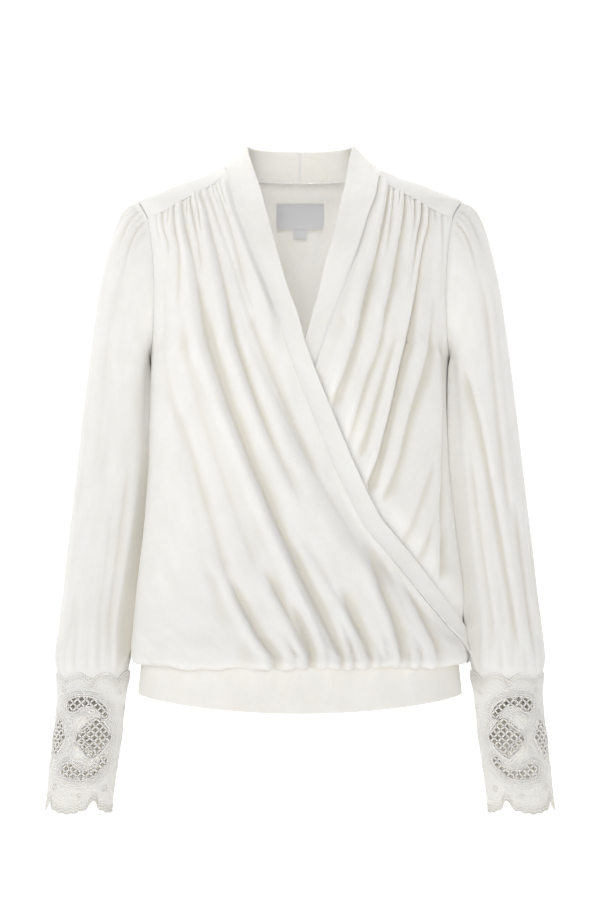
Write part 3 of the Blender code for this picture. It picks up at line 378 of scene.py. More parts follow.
jerseyLook = {
    "light": (0.935, 0.925, 0.898),    # crests of the nap
    "shade": (0.880, 0.868, 0.835),    # where the nap lies the other way
    # painted shade: the colour that the cloth takes down in its folds, and how much of it the deepest folds
    # get
    "foldShadeColour": (0.740, 0.705, 0.635),     # down in the folds
    "foldShadeShare": 0.9,
    "toneRange": (0.52, 0.92),         # from all shade to all light
    "through": 0.6,                    # how much light goes into the cloth
    "depth": 0.0018,                   # and how far, in metres
    # how many to the metre, how fine their detail, and how they are drawn out
    "nap": (42.0, 4.0, (1.0, 0.45, 1.0)),
    "fibre": (900.0, 2.0, (1.0, 0.35, 1.0)),
    "knit": (540.0, 1.0, (0.3, 1.0, 1.0)),
    "napWeight": 0.9,
    "fibreWeight": 0.55,
    "roughness": 0.82,
    "shine": 0.25,
    "sheen": 0.28,
    "sheenRoughness": 0.45,
    "sheenTint": (1.0, 0.985, 0.95, 1),
    "bump": 0.16,
    "bumpDepth": 0.0006,
}


def brushedJersey(name, look):
    # two tones of ivory in the nap's clouds and fibres, painted shade in the folds, and a raised pile
    material, tree, shader = newMaterial(name)
    nap, fibre, knit = (noiseOn(tree, *look[kind]) for kind in ("nap", "fibre", "knit"))
    share = weighed(tree, "ADD", nap, look["napWeight"], fibre, look["fibreWeight"])
    tones = mixColour(tree, look["shade"], look["light"], rangeOf(tree, share, *look["toneRange"]))
    # painted shade: the colour darkens towards the fold colour where the cloth lies deep in a fold
    foldShadeAmount = mixNumber(tree, "MULTIPLY", attributeOf(tree, "creaseShade"), look["foldShadeShare"])
    colour = mixColour(tree, tones, look["foldShadeColour"], foldShadeAmount)
    height = mixNumber(tree, "ADD", fibre, knit)
    finishShader(tree, shader, colour, height, look["bump"], look["bumpDepth"], **letThrough(look),
                 **{"Roughness": look["roughness"], "Specular IOR Level": look["shine"],
                    "Sheen Weight": look["sheen"], "Sheen Roughness": look["sheenRoughness"],
                    "Sheen Tint": look["sheenTint"]})
    return material


laceLook = {
    "light": (0.995, 0.965, 0.905),
    "shade": (0.960, 0.915, 0.840),
    "netted": (0.985, 0.950, 0.870),   # the sunk ground behind a net
    "toneRange": (-0.85, 0.30),
    "through": 0.6,
    "depth": 0.0025,
    "stitch": (1100.0, 1.0, (1.0, 0.5, 1.0)),      # satin stitches, as in the jersey
    "stitchWeight": 0.6,
    "ground": 520.0,       # knots of the ground per metre
    "groundWeight": 0.9,
    "roughness": 0.62,
    "sheen": 0.15,
    "bump": 0.8,
    "bumpDepth": 0.0007,
    "netRib": 2.3,         # width in millimetres of the ribs round a net
    "netReach": 13.0,      # and how far out they go
    "rimRib": 3.25,        # the same for those that follow the scallops
    "rimReach": 12.0,
    "ribFade": 0.6,        # the share of the reach over which they are full
    "ribWeight": 0.45,
    "sunkRange": (0.4, -1.0),
}


def laceRibs(tree, way, width, reach, full):
    # a sine wave of the distance from an edge, fading away beyond its reach
    wave = mixNumber(tree, "SINE", mixNumber(tree, "MULTIPLY", way, 2 * np.pi / width), 0.0)
    return mixNumber(tree, "MULTIPLY", wave, rangeOf(tree, way, reach, full * reach))


def laceCloth(name, look, ribs):
    # a knotted ground with fine stitches, ribs that follow the net's edge and the scallops, darker in its
    # hollows with painted shade
    material, tree, shader = newMaterial(name)
    place = addNode(tree, "ShaderNodeTexCoord")
    stitch = noiseOn(tree, *look["stitch"])
    knots = addNode(tree, "ShaderNodeTexVoronoi", feature="F1", Scale=look["ground"])
    tree.links.new(place.outputs["UV"], knots.inputs["Vector"])
    height = weighed(tree, "SUBTRACT", stitch, look["stitchWeight"], knots.outputs["Distance"],
                     look["groundWeight"])
    if ribs:
        way = attributeOf(tree, "edgeWay")
        netRibs = laceRibs(tree, way, look["netRib"], look["netReach"], look["ribFade"])
        rimWay = attributeOf(tree, "rimWay")
        rimRibs = laceRibs(tree, rimWay, look["rimRib"], look["rimReach"], look["ribFade"])
        allRibs = mixNumber(tree, "ADD", netRibs, rimRibs)
        height = mixNumber(tree, "ADD", height, mixNumber(tree, "MULTIPLY", allRibs, look["ribWeight"]))
    # painted shade: the colour follows the relief's height, lighter on raised stitches, knots and ribs and
    # darker in the hollows between them
    colour = mixColour(tree, look["shade"], look["light"], rangeOf(tree, height, *look["toneRange"]))
    if ribs:
        colour = mixColour(tree, colour, look["netted"], rangeOf(tree, way, *look["sunkRange"]))
    finishShader(tree, shader, colour, height, look["bump"], look["bumpDepth"], **letThrough(look),
                 **{"Roughness": look["roughness"], "Sheen Weight": look["sheen"]})
    return material


labelLook = {"light": (0.98, 0.98, 1.0), "shade": (0.92, 0.92, 0.97), "roughness": 0.38, "shine": 1.0,
             "thread": (1500.0, 2.0, (0.12, 1.0, 1.0)), "threadWeight": 0.5, "clouds": (70.0, 2.0),
             "cloudWeight": 0.5, "bump": 0.2, "bumpDepth": 0.0003}


def satinLabel(name, look):
    # long floats of thread that run one way
    material, tree, shader = newMaterial(name)
    floats, clouds = noiseOn(tree, *look["thread"]), noiseOn(tree, *look["clouds"])
    share = weighed(tree, "ADD", floats, look["threadWeight"], clouds, look["cloudWeight"])
    colour = mixColour(tree, look["shade"], look["light"], share)
    finishShader(tree, shader, colour, floats, look["bump"], look["bumpDepth"],
                 **{"Roughness": look["roughness"], "Specular IOR Level": look["shine"]})
    return material


jersey = brushedJersey("ivoryJersey", jerseyLook)
backJersey = brushedJersey("ivoryJerseyBack", {**jerseyLook, "through": 0.9, "depth": 0.0045})
neckJersey = brushedJersey("ivoryJerseyNeck", {**jerseyLook, "through": 0.7, "depth": 0.0026})
bandNap = (30.0, *jerseyLook["nap"][1:])
bandJersey = brushedJersey("ivoryJerseyDouble", {**jerseyLook, "nap": bandNap, "bump": 0.13})
laceGround = laceCloth("laceGround", laceLook, True)
laceThread = laceCloth("laceThread", {**laceLook, "bump": 0.3}, False)
labelSatin = satinLabel("labelSatin", labelLook)
print("materials made")


foldShape = {
    "power": 1.35,          # 1 gives a fold a sharp floor, 2 a round one
    "slopeStep": 4.0,
    "yokeLevel": 70,        # a fold that starts above this is a tight gather that opens on its way down
    "tight": 0.42,
    "opensOver": 100,
    "hemLevel": 505,        # one that ends below this runs on round the overhang
    "runsOn": 14,
    "startsAbove": 16,
    "fullByYoke": -4, "fullBelow": 30,
    "endsOver": (-6, 16),
    "overhang": (512, 530), "overhangDepth": 0.6,
    "ridgePlace": 2.4, "ridgeWidth": 1.6, "ridgeLeast": 2.0,
}


def valley(distance, width):
    # e to the minus distance in widths, raised to the fold's power
    return np.exp(-np.abs(distance / width) ** foldShape["power"])


def creaseRelief(out, level, folds, strength=1.0, look=foldShape):
    # each fold is a trough along its own line, steep on one side and soft on the other,
    # beside a low rounded ridge; distances are taken square to the line
    lift = np.zeros_like(out)
    for path, depths, (steep, soft), ridge in folds:
        levels, outs = np.array(path, float).T
        first, last = levels[0], levels[-1]
        line, step = smoothCurve(levels, outs), look["slopeStep"]
        slope = (line(level + step) - line(level - step)) / (2 * step)
        away = (out - line(level)) / np.sqrt(1 + slope ** 2)
        share = np.clip((level - first) / (last - first), 0, 1)
        depth = strength * smoothCurve((0, 0.5, 1), depths)(share)
        depth = depth * mix(1.0, look["overhangDepth"], ease(level, *look["overhang"]))
        atYoke = first < look["yokeLevel"]
        end = last + (look["runsOn"] if last > look["hemLevel"] else 0)
        full = first + look["fullByYoke" if atYoke else "fullBelow"]
        begin, (close, gone) = first - look["startsAbove"], look["endsOver"]
        run = between(level, (begin, full), (end + close, end + gone))
        opened = mix(look["tight"], 1.0, ease(level, first, first + look["opensOver"])) if atYoke else 1.0
        side = np.where(away * np.sign(steep) < 0, abs(steep), soft) * opened
        beside = away + look["ridgePlace"] * steep * opened
        width = (look["ridgeWidth"] * abs(steep) + look["ridgeLeast"]) * opened
        lift = lift - depth * run * valley(away, side) + strength * ridge * run * bell(beside, width)
    return lift


def hemRelief(out, level, seam, gathers, look):
    # narrow troughs that start at the hem's seam and open and fade on their way up
    lift = np.zeros_like(out)
    up = seam - level
    for place, length, depth in gathers:
        line = place + look["lean"] * place * up
        width = look["base"] + look["opens"] * np.clip(up, 0, 200)
        lift = lift - depth * fade(up, look["fadesFrom"] * length, length) * valley(out - line, width)
    return lift


panelSizes = {
    "clothWall": 1.6,
    "seamGap": 0.06,
    "endPull": 0.45,          # how much closer the rows lie near a panel's ends
    "insetWidth": 6, "bandInset": 1.4,      # seams are drawn in over this width, by so many gaps
    "uvStart": 500,
    "underLift": -3.8,        # how far the under front and its band lie below the form
    "bandLift": -5.6,
    "sideSwell": 2.3,         # beside the side seams, between these levels
    "swellWidth": 30,
    "swellLevels": ((205, 245), (345, 405)),
    "sideEdge": 48.0,         # over this width the fullness, and the folds, die away to the side seam
    "sideFold": 13.0,
    "bandEdge": 6.0,          # and the same beside the neckband, at the top and lower down
    "lowEdges": (34.0, 16.0),
    "lowLevels": (140, 300),
    "edgeRoll": 0.2, "rollWidth": 2.5,
    "wrapTail": ((0.35, 5.0), (0.7, 10.5), (1.0, 16.0)),
    "tailTurn": 1.8,
    "crossing": 12,
    "angleSpacing": (0.15, 0.45),
    # share of the way down, how full the fronts are and how full the back
    "fullness": ((0.0, 0.6, 0.0), (0.008, 2.4, 0.15), (0.03, 3.8, 0.4), (0.1, 5.0, 0.8), (0.3, 7.0, 2.5),
                 (0.6, 8.0, 3.0), (0.85, 7.0, 4.0), (0.96, 5.5, 4.0), (1.0, 0.0, 0.0)),
}
fullness = np.array(panelSizes["fullness"], float)
frontFullness, backFullness = (smoothCurve(fullness[:, 0], fullness[:, k]) for k in (1, 2))


def yokePlace(along, across):
    # along from the neck (0) to the armhole (1); across from the front seam (-1) over the
    # shoulder line (0) to the back seam (1), eased by the square of the way across
    faceFront = across < 0
    square = across ** 2
    (frontOut, frontLevel), (backOut, backLevel) = bodyForm["frontYokeSeam"][0], bodyForm["backYokeSeam"][0]
    top, low, neckOut = bodyForm["armholeTop"], bodyForm["yokeLevel"], bodyForm["neckOut"]
    neckLevel = mix(ridgeLevel(neckOut), np.where(faceFront, frontLevel, backLevel), square)
    neckEnd = mix(neckOut, np.where(faceFront, frontOut, backOut), square)
    armLevel = mix(top, low, square)
    reach = np.where(faceFront, armholeReach(armLevel, "front"), armholeReach(armLevel, "back"))
    armEnd = formHalfWidth(armLevel) * np.cos(reach)
    out = mix(neckEnd, armEnd, along)
    ridge = ridgeLevel(out)
    drop = mix(neckLevel - ridgeLevel(neckEnd), armLevel - ridgeLevel(armEnd), along)
    seam = np.where(faceFront, frontYokeSeam(out), backYokeSeam(out))
    neckDrop = np.where(faceFront, frontLevel - ridgeLevel(frontOut), backLevel - ridgeLevel(backOut))
    endReach = np.where(faceFront, armholeReach(low, "front"), armholeReach(low, "back"))
    endOut = formHalfWidth(low) * np.cos(endReach)
    straight = mix(neckDrop, low - ridgeLevel(endOut), along)
    level = ridge + drop + (seam - ridge - straight) * square
    angle = angleAt(out, level)
    return np.where(faceFront, angle, np.pi - angle), level


def wrapPath(wrap):
    # free edge of a neckband, and its seam one band width to the side, measured on the form
    across, height, width = np.array(wrap, float).T
    level = -height
    angle = angleAt(across, level)
    roundIt, downIt = bodyWays(angle, level)
    roundSize = np.linalg.norm(roundIt, axis=-1) / (2 * angleStep)
    downSize = np.linalg.norm(downIt, axis=-1) / (2 * levelStep)
    alongRound = np.gradient(angle) * roundSize
    alongDown = np.gradient(level) * downSize
    length = np.hypot(alongRound, alongDown)
    seamAngle = angle - width * alongDown / length / roundSize
    seamLevel = level + width * alongRound / length / downSize
    # the last of the band narrows to nothing at the far side seam
    onward, down = np.array(panelSizes["wrapTail"], float).T
    tailAngle = mix(angle[-1], np.pi / 2, np.minimum(panelSizes["tailTurn"] * onward, 1))
    tailLevel = level[-1] + (seamLevel[-1] - level[-1] - 2 + down[-1]) * onward
    angle, level = np.append(angle, tailAngle), np.append(level, tailLevel)
    seamLevel = np.append(seamLevel, seamLevel[-1] + down)
    seamAngle = np.append(seamAngle, mix(seamAngle[-1], np.pi / 2, onward))
    return angle, level, seamAngle, seamLevel


def bandSeam(front):
    # by its own places down to the crossing, then one band width from the free edge
    _, _, angle, level = wrapPath(front["wrap"])
    neckAngle, neckLevel = yokePlace(np.zeros(1), -np.ones(1))
    neckOut = formHalfWidth(neckLevel) * np.sin(neckAngle)
    upperLevel, upperOut = np.array(front["upperSeam"], float).T
    upperOutAt = smoothCurve(np.append(neckLevel, upperLevel), np.append(-neckOut, upperOut))
    dense = np.linspace(neckLevel[0], upperLevel[-1], 80)
    below = level > upperLevel[-1] + panelSizes["crossing"]
    angles = np.concatenate([angleAt(upperOutAt(dense), dense), angle[below]])
    return smoothCurve(np.concatenate([dense, level[below]]), angles), level[-1]


def bandStart():
    return yokePlace(np.zeros(1), -np.ones(1))[1][0] + panelSizes["seamGap"]


def frontGrid(front):
    # rows run from the side edge to the neckband seam, and on to the far side seam below it
    gap = panelSizes["seamGap"]
    columns, rows = front["grid"]
    share = denseEnds(rows, panelSizes["endPull"])
    sideLevel = mix(bodyForm["yokeLevel"], bodyForm["hemLevel"], share)
    sideAngle = -np.pi / 2 + armholeReach(sideLevel, "front")
    seamAngle, seamEnd = bandSeam(front)
    bandLevel = mix(bandStart(), bodyForm["hemLevel"], share)
    bandAngle = np.where(bandLevel < seamEnd, seamAngle(bandLevel), np.pi / 2)
    across = np.linspace(0, 1, columns)[None, :]
    shares = np.repeat(share[:, None], columns, axis=1)
    sideOut = (formHalfWidth(sideLevel) * np.sin(sideAngle))[:, None]
    bandOut = (formHalfWidth(bandLevel) * np.sin(bandAngle))[:, None]
    evenOut = mix(sideOut, bandOut, across)
    topLevel = frontYokeSeam(-evenOut[0]) + 2 * gap
    level = mix(topLevel[None, :], bodyForm["hemLevel"], shares)
    evenAngle = mix(sideAngle[:, None], bandAngle[:, None], across)
    angle = mix(angleAt(evenOut, level), evenAngle, ease(shares, *panelSizes["angleSpacing"]))
    width = np.abs(bandOut - sideOut)
    nearSide, nearBand = across * width, (1 - across) * width
    inset, reach = gap / formHalfWidth(level), panelSizes["insetWidth"]
    drawnIn = fade(nearSide, 0, reach) - panelSizes["bandInset"] * fade(nearBand, 0, reach)
    angle = angle + inset * drawnIn
    return angle, level, shares, nearSide, nearBand


def wallsOn(base, normal, lift, wall=panelSizes["clothWall"]):
    # the outer face lies a lift above the base, and the inner face a wall below that
    return base + normal * lift[..., None], base + normal * (lift - wall)[..., None]


def panelWalls(angle, level, lift, wall=panelSizes["clothWall"]):
    return wallsOn(bodyPoint(angle, level), bodyNormal(angle, level), lift, wall)


def clothUv(outer):
    # lengths along the middle row and column, so that the weave keeps its size
    acrossWay = np.linalg.norm(np.diff(outer, axis=1), axis=-1)
    downWay = np.linalg.norm(np.diff(outer, axis=0), axis=-1)
    u = np.concatenate([np.zeros((len(outer), 1)), np.cumsum(acrossWay, axis=1)], axis=1)
    v = np.concatenate([np.zeros((1, outer.shape[1])), np.cumsum(downWay, axis=0)], axis=0)
    middle = outer.shape[1] // 2
    return np.stack([u - u[:, middle:middle + 1] + panelSizes["uvStart"], v], axis=-1)


creaseShape = {"rounds": 3, "reach": 4, "fullDepth": 2.2}


def creaseOf(lift):
    # how far a point lies below the cloth around it: the mean of its neighbours' lifts, taken
    # a few times over, less its own lift. This sets how much painted shade the cloth gets there
    reach, blurred = creaseShape["reach"], lift
    span = 2 * reach + 1
    for axis in (0, 1) * creaseShape["rounds"]:
        ends = (blurred.take([end] * reach, axis) for end in (0, -1))
        sums = np.cumsum(np.concatenate([next(ends), blurred, next(ends)], axis), axis)
        sums = np.concatenate([0 * sums.take([0], axis), sums], axis)
        size = lift.shape[axis]
        blurred = (sums.take(range(span, span + size), axis) - sums.take(range(size), axis)) / span
    return np.clip((blurred - lift) / creaseShape["fullDepth"], 0, 1)


overFront = {
    "strength": 1.4,
    "least": -1.8,            # the deepest that a fold goes below the form
    "cloud": (0.4, 60, 3),    # height, scale and seed of the soft unevenness
    "cloudShares": ((0.02, 0.1), (0.9, 1)),
    # the cloth swells a little beside the neckband: height, place, width, between these levels
    "bandRidge": (0.12, 7, 5, ((100, 200), (420, 500))),
    # waves across the hem as (height, length, shift): low swells where it is plain, then how
    # its lowest line wanders
    "hemSwells": ((1.0, 17, 1.2), (0.6, 7.3, 0.0)),
    "swellLevels": ((495, 520), (534, 545)), "swellOuts": (-45, -20),
    "hemWander": ((1.1, 13, 0.6), (0.7, 5.3, 2.0)),
    "wanderLevels": ((500, 530), (540, 545)), "wanderDrop": 0.6, "wanderSide": 12,
    "flatFrom": (538, 545),
    # painted shade along the underside of the hem's overhang: how strong, and the levels over which it
    # comes in
    "hemShade": (0.8, 530, 540),
    "wrap": ((-47, -9, 19), (-34, -54, 25), (-24, -91, 23), (-12.5, -131, 21), (-1, -163, 20),
             (5, -187, 20), (17, -220, 20), (35, -264, 20), (51.5, -304, 20), (70, -345, 19.5),
             (85, -374, 19), (103, -396, 19), (122, -420, 19), (144, -449, 19.5), (165, -477, 20),
             (179, -500, 21)),
    "upperSeam": ((8.5, -75.3), (24, -73), (40, -69), (54, -64), (71.5, -57.5), (87, -52), (103, -45.8),
                  (113.5, -41), (132, -34), (148, -27.5)),   # level, out
    "grid": (200, 175),      # columns, rows
    # path as (level, out), depths along it, (steep side, soft side), ridge beside the steep side
    "folds": (
        (((42, -125.4), (57, -122.7), (73, -119.6), (88, -115.5), (105, -111.3), (126, -107.1),
         (153, -102.9), (174, -99.8), (191, -95.5), (208, -90.3), (233, -81.9), (255, -74.5), (276, -66.2),
         (318, -50.4), (347, -37.8), (376, -26.2), (410, -10.5), (432, 0), (460, 13.7), (487, 27.3),
         (519, 43.1)), (2.6, 6.5, 5), (3.4, 15), 2.4),
        (((33, -106.3), (43, -101.6), (56, -97.3), (72, -93.6), (87, -89.2), (103, -85), (122, -80.9),
         (141, -76.7), (164, -72.5), (188, -67.2), (210, -59.9), (229, -53.6), (250, -46.2), (271, -37.8),
         (292, -29.4), (315, -18.9), (350, -2)), (2.8, 6, 1), (3.8, 13), 2),
        (((59, -153.4), (74, -151.8), (88, -149.1)), (1.4, 1, 0.2), (2.4, 6), 0.5),
        (((55, -147.6), (69, -144.9), (82, -140.7), (99, -137.6)), (1.9, 1.6, 0.3), (2.6, 7), 0.6),
        (((52, -140.7), (67, -139.7)), (1.8, 1.2, 0.2), (2, 4), 0.4),
        (((46, -134.9), (61, -133.8), (76, -131.2), (90, -128.1), (111, -127.6), (137, -127.6),
         (160, -126)), (2.5, 2.6, 0.8), (3, 9), 1),
        (((44, -130.1), (61, -129.1)), (1.8, 1.2, 0.2), (2, 4), 0.4),
        (((41, -120.6), (57, -119)), (2, 1.3, 0.2), (2.2, 5), 0.4),
        (((39, -116.9), (53, -113.7), (67, -110.6), (82, -107.1), (99, -105), (120, -101)), (2.6, 2.4, 0.4),
         (2.8, 8), 0.9),
        (((35, -110.6), (48, -107.4), (65, -104.7), (84, -101)), (2.3, 1.8, 0.3), (2.4, 6), 0.6),
        (((26, -98.9), (39, -94.2), (54, -88.9), (68, -83.6), (84, -77.7), (103, -71.4), (128, -64),
         (153, -55.7), (200, -38), (262, -12), (320, 14)), (2.4, 3, 1), (5, 14), 1.2),
        (((23, -93.1), (34, -89.9), (44, -85.7), (60, -81)), (2, 1.5, 0.2), (2.2, 5), 0.5),
        (((21, -89.9), (37, -83.6), (52, -78.8), (64, -74.6), (82, -69.3), (99, -65.1), (126, -57.8),
         (160, -47)), (2.2, 2.4, 0.8), (3.4, 10), 0.9),
        (((19, -85.7), (32, -81.5), (48, -76)), (1.6, 1, 0.2), (2, 5), 0.3),
        (((245, -132), (302, -113), (375, -93), (425, -79)), (0.8, 2.4, 2), (5, 14), 1.4),
        (((425, -79), (442, -71.4), (458, -65.1), (472, -57.8), (484, -51.5), (496, -45.1), (507, -37.8),
         (519, -28.4)), (1.6, 4.2, 4.2), (2.4, 10), 2),
        (((110, -144), (180, -141), (250, -131), (330, -112), (420, -96), (480, -80)), (0.5, 2.2, 0.8),
         (9, 16), 0.8),
        (((425, -38), (452, -25), (478, -11), (516, 9)), (1.4, 4.2, 3.6), (2.8, 8), 1.8),
        (((400, -12), (440, 0), (474, 16), (512, 32)), (0.4, 2, 2), (3.2, 7), 1),
        (((95, -78), (165, -60), (240, -28), (300, 2), (380, 48), (440, 84)), (1.2, 2.6, 0.9),
         (6, 14), 0.8),
        (((160, -125), (240, -108), (330, -80), (400, -55), (450, -34)), (0.8, 2, 1.2), (7, 14), 0.6),
        (((300, 22), (370, 58), (430, 92), (486, 118)), (0.4, 2, 1.2), (6, 13), 0.7),
        (((380, -8), (430, 24), (490, 58), (515, 66)), (0.3, 2, 2.4), (4, 9), 0.8),
    ),
    "hemFolds": (
        (((492, -15), (507, -10.5), (519, -4)), (1.6, 2.6, 3.2), (2.4, 5), 1),
        (((458, -8.4), (478, -2), (493, 4.2), (507, 8.4), (522, 10.5)), (1.4, 3.6, 3.8), (2.6, 8), 1.4),
        (((487, 18), (503, 26), (512, 28.5), (522, 29.4)), (1.2, 3, 3.4), (2.4, 6), 1),
        (((475, 42), (492, 48.5), (508, 53.5), (522, 56.7)), (1.4, 3.2, 3.6), (2.4, 6), 1.2),
        (((440, 42), (455, 46), (480, 55.7), (492, 62), (508, 69.3), (522, 73.5)), (1.6, 4.2, 4),
         (2.8, 9), 1.8),
        (((503, 77), (512, 82), (522, 84.5)), (1.4, 3, 3.4), (2, 5), 0.8),
        (((490, 88), (504, 90.3), (522, 92.4)), (1.4, 3.2, 3.4), (2.4, 5), 1),
        (((506, 95), (522, 97.5)), (1.6, 2.6, 3), (1.8, 3.5), 0.6),
        (((402, 70), (428, 77), (450, 84), (473, 93.5), (492, 99.8), (507, 103.5), (522, 106)),
         (1.6, 4.4, 4.2), (3, 10), 1.8),
        (((507, 113), (522, 114)), (1.2, 2, 2.4), (1.8, 4), 0.5),
        (((500, 121), (508, 124), (522, 126)), (1.2, 2.8, 3.2), (2.4, 6), 1),
        (((430, 105), (450, 115), (465, 122), (480, 128), (492, 133), (507, 140), (522, 143.5)),
         (1.2, 3.2, 2.4), (3, 9), 1),
    ),
}


def edgeFades(nearSide, nearBand, level):
    # the fullness dies away well before the side seam, the folds just before the seams,
    # and both more gently beside the lower neckband
    low, edge = ease(level, *panelSizes["lowLevels"]), panelSizes["bandEdge"]
    full, fold = (ease(nearBand, 0, mix(edge, wide, low)) for wide in panelSizes["lowEdges"])
    full = full * ease(nearSide, 0, panelSizes["sideEdge"])
    return full, fold * ease(nearSide, 0, panelSizes["sideFold"])


def sideSwell(nearSide, level):
    # the cloth beside the side seam stands out a little under the arms
    beside = fade(nearSide, 0, panelSizes["swellWidth"])
    return panelSizes["sideSwell"] * beside * between(level, *panelSizes["swellLevels"])


def waves(out, sizes):
    return sum(height * np.sin(out / length + shift) for height, length, shift in sizes)


def bandRoll(nearBand):
    return panelSizes["edgeRoll"] * fade(nearBand, 0, panelSizes["rollWidth"])


def makeOverFront(look):
    angle, level, share, nearSide, nearBand = frontGrid(look)
    out = formHalfWidth(level) * np.sin(angle)
    folds = creaseRelief(out, level, look["folds"] + look["hemFolds"], look["strength"])
    height, scale, seed = look["cloud"]
    folds = folds + height * cloud(out, level, scale, seed) * between(share, *look["cloudShares"])
    plain = between(level, *look["swellLevels"]) * fade(out, *look["swellOuts"])
    folds = folds + waves(out, look["hemSwells"]) * plain
    full, fold = edgeFades(nearSide, nearBand, level)
    relief = folds * fold * fade(level, *look["flatFrom"])
    height, place, width, levels = look["bandRidge"]
    ridge = height * bell(nearBand - place, width) * between(level, *levels)
    lift = np.maximum(frontFullness(share) * full + relief + ridge, look["least"]) - bandRoll(nearBand)
    outer, inner = panelWalls(angle, level, lift + sideSwell(nearSide, level))
    wander = waves(out, look["hemWander"]) - look["wanderDrop"]
    wander = wander * between(level, *look["wanderLevels"]) * ease(nearSide, 0, look["wanderSide"])
    for face in (outer, inner):
        face[..., 2] += wander
    # painted shade in the folds, and painted shade under the overhang at the hem
    shade, *levels = look["hemShade"]
    creaseShade = np.maximum(creaseOf(relief), shade * ease(level, *levels))
    piece = addCloth("overFrontCloth", outer, inner, jersey, clothUv(outer), creaseShade=creaseShade)
    settle(piece, ["front_over"])


underFront = {
    "strength": 1.9,
    "least": -6.0,
    "cloud": (0.4, 55, 8),
    "cloudShares": (0.02, 0.1),
    # how far out of the wrap's edge the folds, the fullness and the full lift come in
    "shows": (-4, 12),
    "swells": (-2, 26),
    "rises": (-6, 14),
    "sinksAgain": (530, 545),
    "wrap": ((-50, -8, 22), (-43.5, -38, 27), (-35.5, -74, 25), (-26, -106, 23), (-19, -136, 21.5),
             (-9.5, -170, 20.5), (-1, -196, 20), (20, -250, 20), (46, -312, 20), (78, -372, 19.5),
             (112, -420, 19.5), (144, -458, 20), (176, -490, 20)),
    "upperSeam": ((8.5, -83), (19, -81.5), (30, -79.6), (40, -76), (50.5, -72), (63, -68), (77, -63.7),
                  (87, -60.5), (100, -56), (113.5, -51.5), (129, -46.5), (138, -43)),
    "grid": (150, 160),
    # out is counted towards the wearer's left here, as if this were the other front turned over
    "folds": (
        (((42, -137), (61, -136.5), (82, -132.3), (103, -129.2), (124, -126), (140, -122.9), (156, -119.7),
         (171, -116.6), (187, -113.4), (200, -110.2), (221, -105), (244, -99.8), (265, -94.5), (286, -89.2),
         (309, -83), (328, -76.7), (347, -70.4)), (2.4, 7, 6), (-3.2, 12), 2.2),
        (((23, -94.7), (40, -92), (63, -87.8), (82, -84), (105, -78.8), (128, -72.5), (160, -63)),
         (2.6, 4, 1.5), (-3.6, 10), 1.4),
        (((30, -105.8), (44, -104.2)), (1.8, 1.2, 0.2), (-2, 5), 0.4),
        (((30, -111.6), (44, -110.6), (65, -107.9), (88, -104), (111, -99.8), (134, -95.5), (160, -88)),
         (2.5, 3.6, 1.4), (-3.4, 10), 1.3),
        (((33, -117.4), (48, -116.4)), (1.8, 1.2, 0.2), (-2, 5), 0.4),
        (((35, -121.7), (53, -121.1), (69, -119.6), (90, -116)), (2.2, 1.6, 0.3), (-2.4, 7), 0.7),
        (((38, -129.6), (55, -128.5), (74, -124.8), (95, -120.8), (118, -116.6), (145, -111)),
         (2.5, 2.8, 0.6), (-3, 9), 1),
        (((45, -143.9), (61, -143.9)), (1.6, 1, 0.2), (-2, 5), 0.4),
        (((48, -151.3), (65, -152.4), (92, -152.8), (132, -151.7)), (1.6, 2.2, 1.4), (-3, 8), 0.8),
        (((26, -99.5), (46, -97.5), (70, -94.5), (100, -89)), (1.8, 1.6, 0.3), (-2.4, 6), 0.6),
        (((130, -142.8), (156, -141.8), (185, -138.6), (203, -134.4), (221, -130.2), (237, -125),
         (258, -118.7), (284, -111.3), (313, -104), (336, -95.5), (353, -88.2)), (1.2, 4.4, 2),
         (-5, 11), 1.5),
        (((105, -75.6), (129, -71.4), (145, -68.2), (164, -64), (182, -59.9), (202, -53.6), (218, -48.3),
         (237, -41), (254, -34.6)), (1, 3.2, 2.4), (-3.6, 11), 1.4),
        (((105, -100.8), (129, -96.6), (145, -92.4), (164, -88.2), (183, -85), (204, -78.8), (223, -71.4),
         (244, -65.1), (266, -58.8), (288, -52.5), (302, -47.2)), (1.2, 3.4, 2.4), (-4, 12), 1.5),
        (((126, -113.4), (151, -109.2), (176, -102.9), (200, -95.5), (221, -89.2), (242, -83), (263, -76.7),
         (282, -71.4), (305, -64)), (1, 3, 2), (-5, 12), 1.2),
        (((140, -155), (161, -154.2), (187, -153.2), (218, -151.6), (250, -150), (282, -148.4),
         (313, -147.4), (350, -146.8), (376, -146.3), (402, -146.8), (434, -148)), (2, 2.6, 2.2),
         (-3, 12), 0.8),
        (((300, -139), (323, -134.4), (360, -123), (397, -110)), (0.6, 1.5, 1.1), (-4, 9), 0.7),
        (((335, -147), (355, -142.8), (386, -135), (418, -126)), (0.6, 1.5, 1.1), (-4, 8), 0.7),
        (((375, -152), (397, -148), (424, -143), (449, -138)), (0.4, 1.2, 1), (-3.5, 7), 0.6),
    ),
}


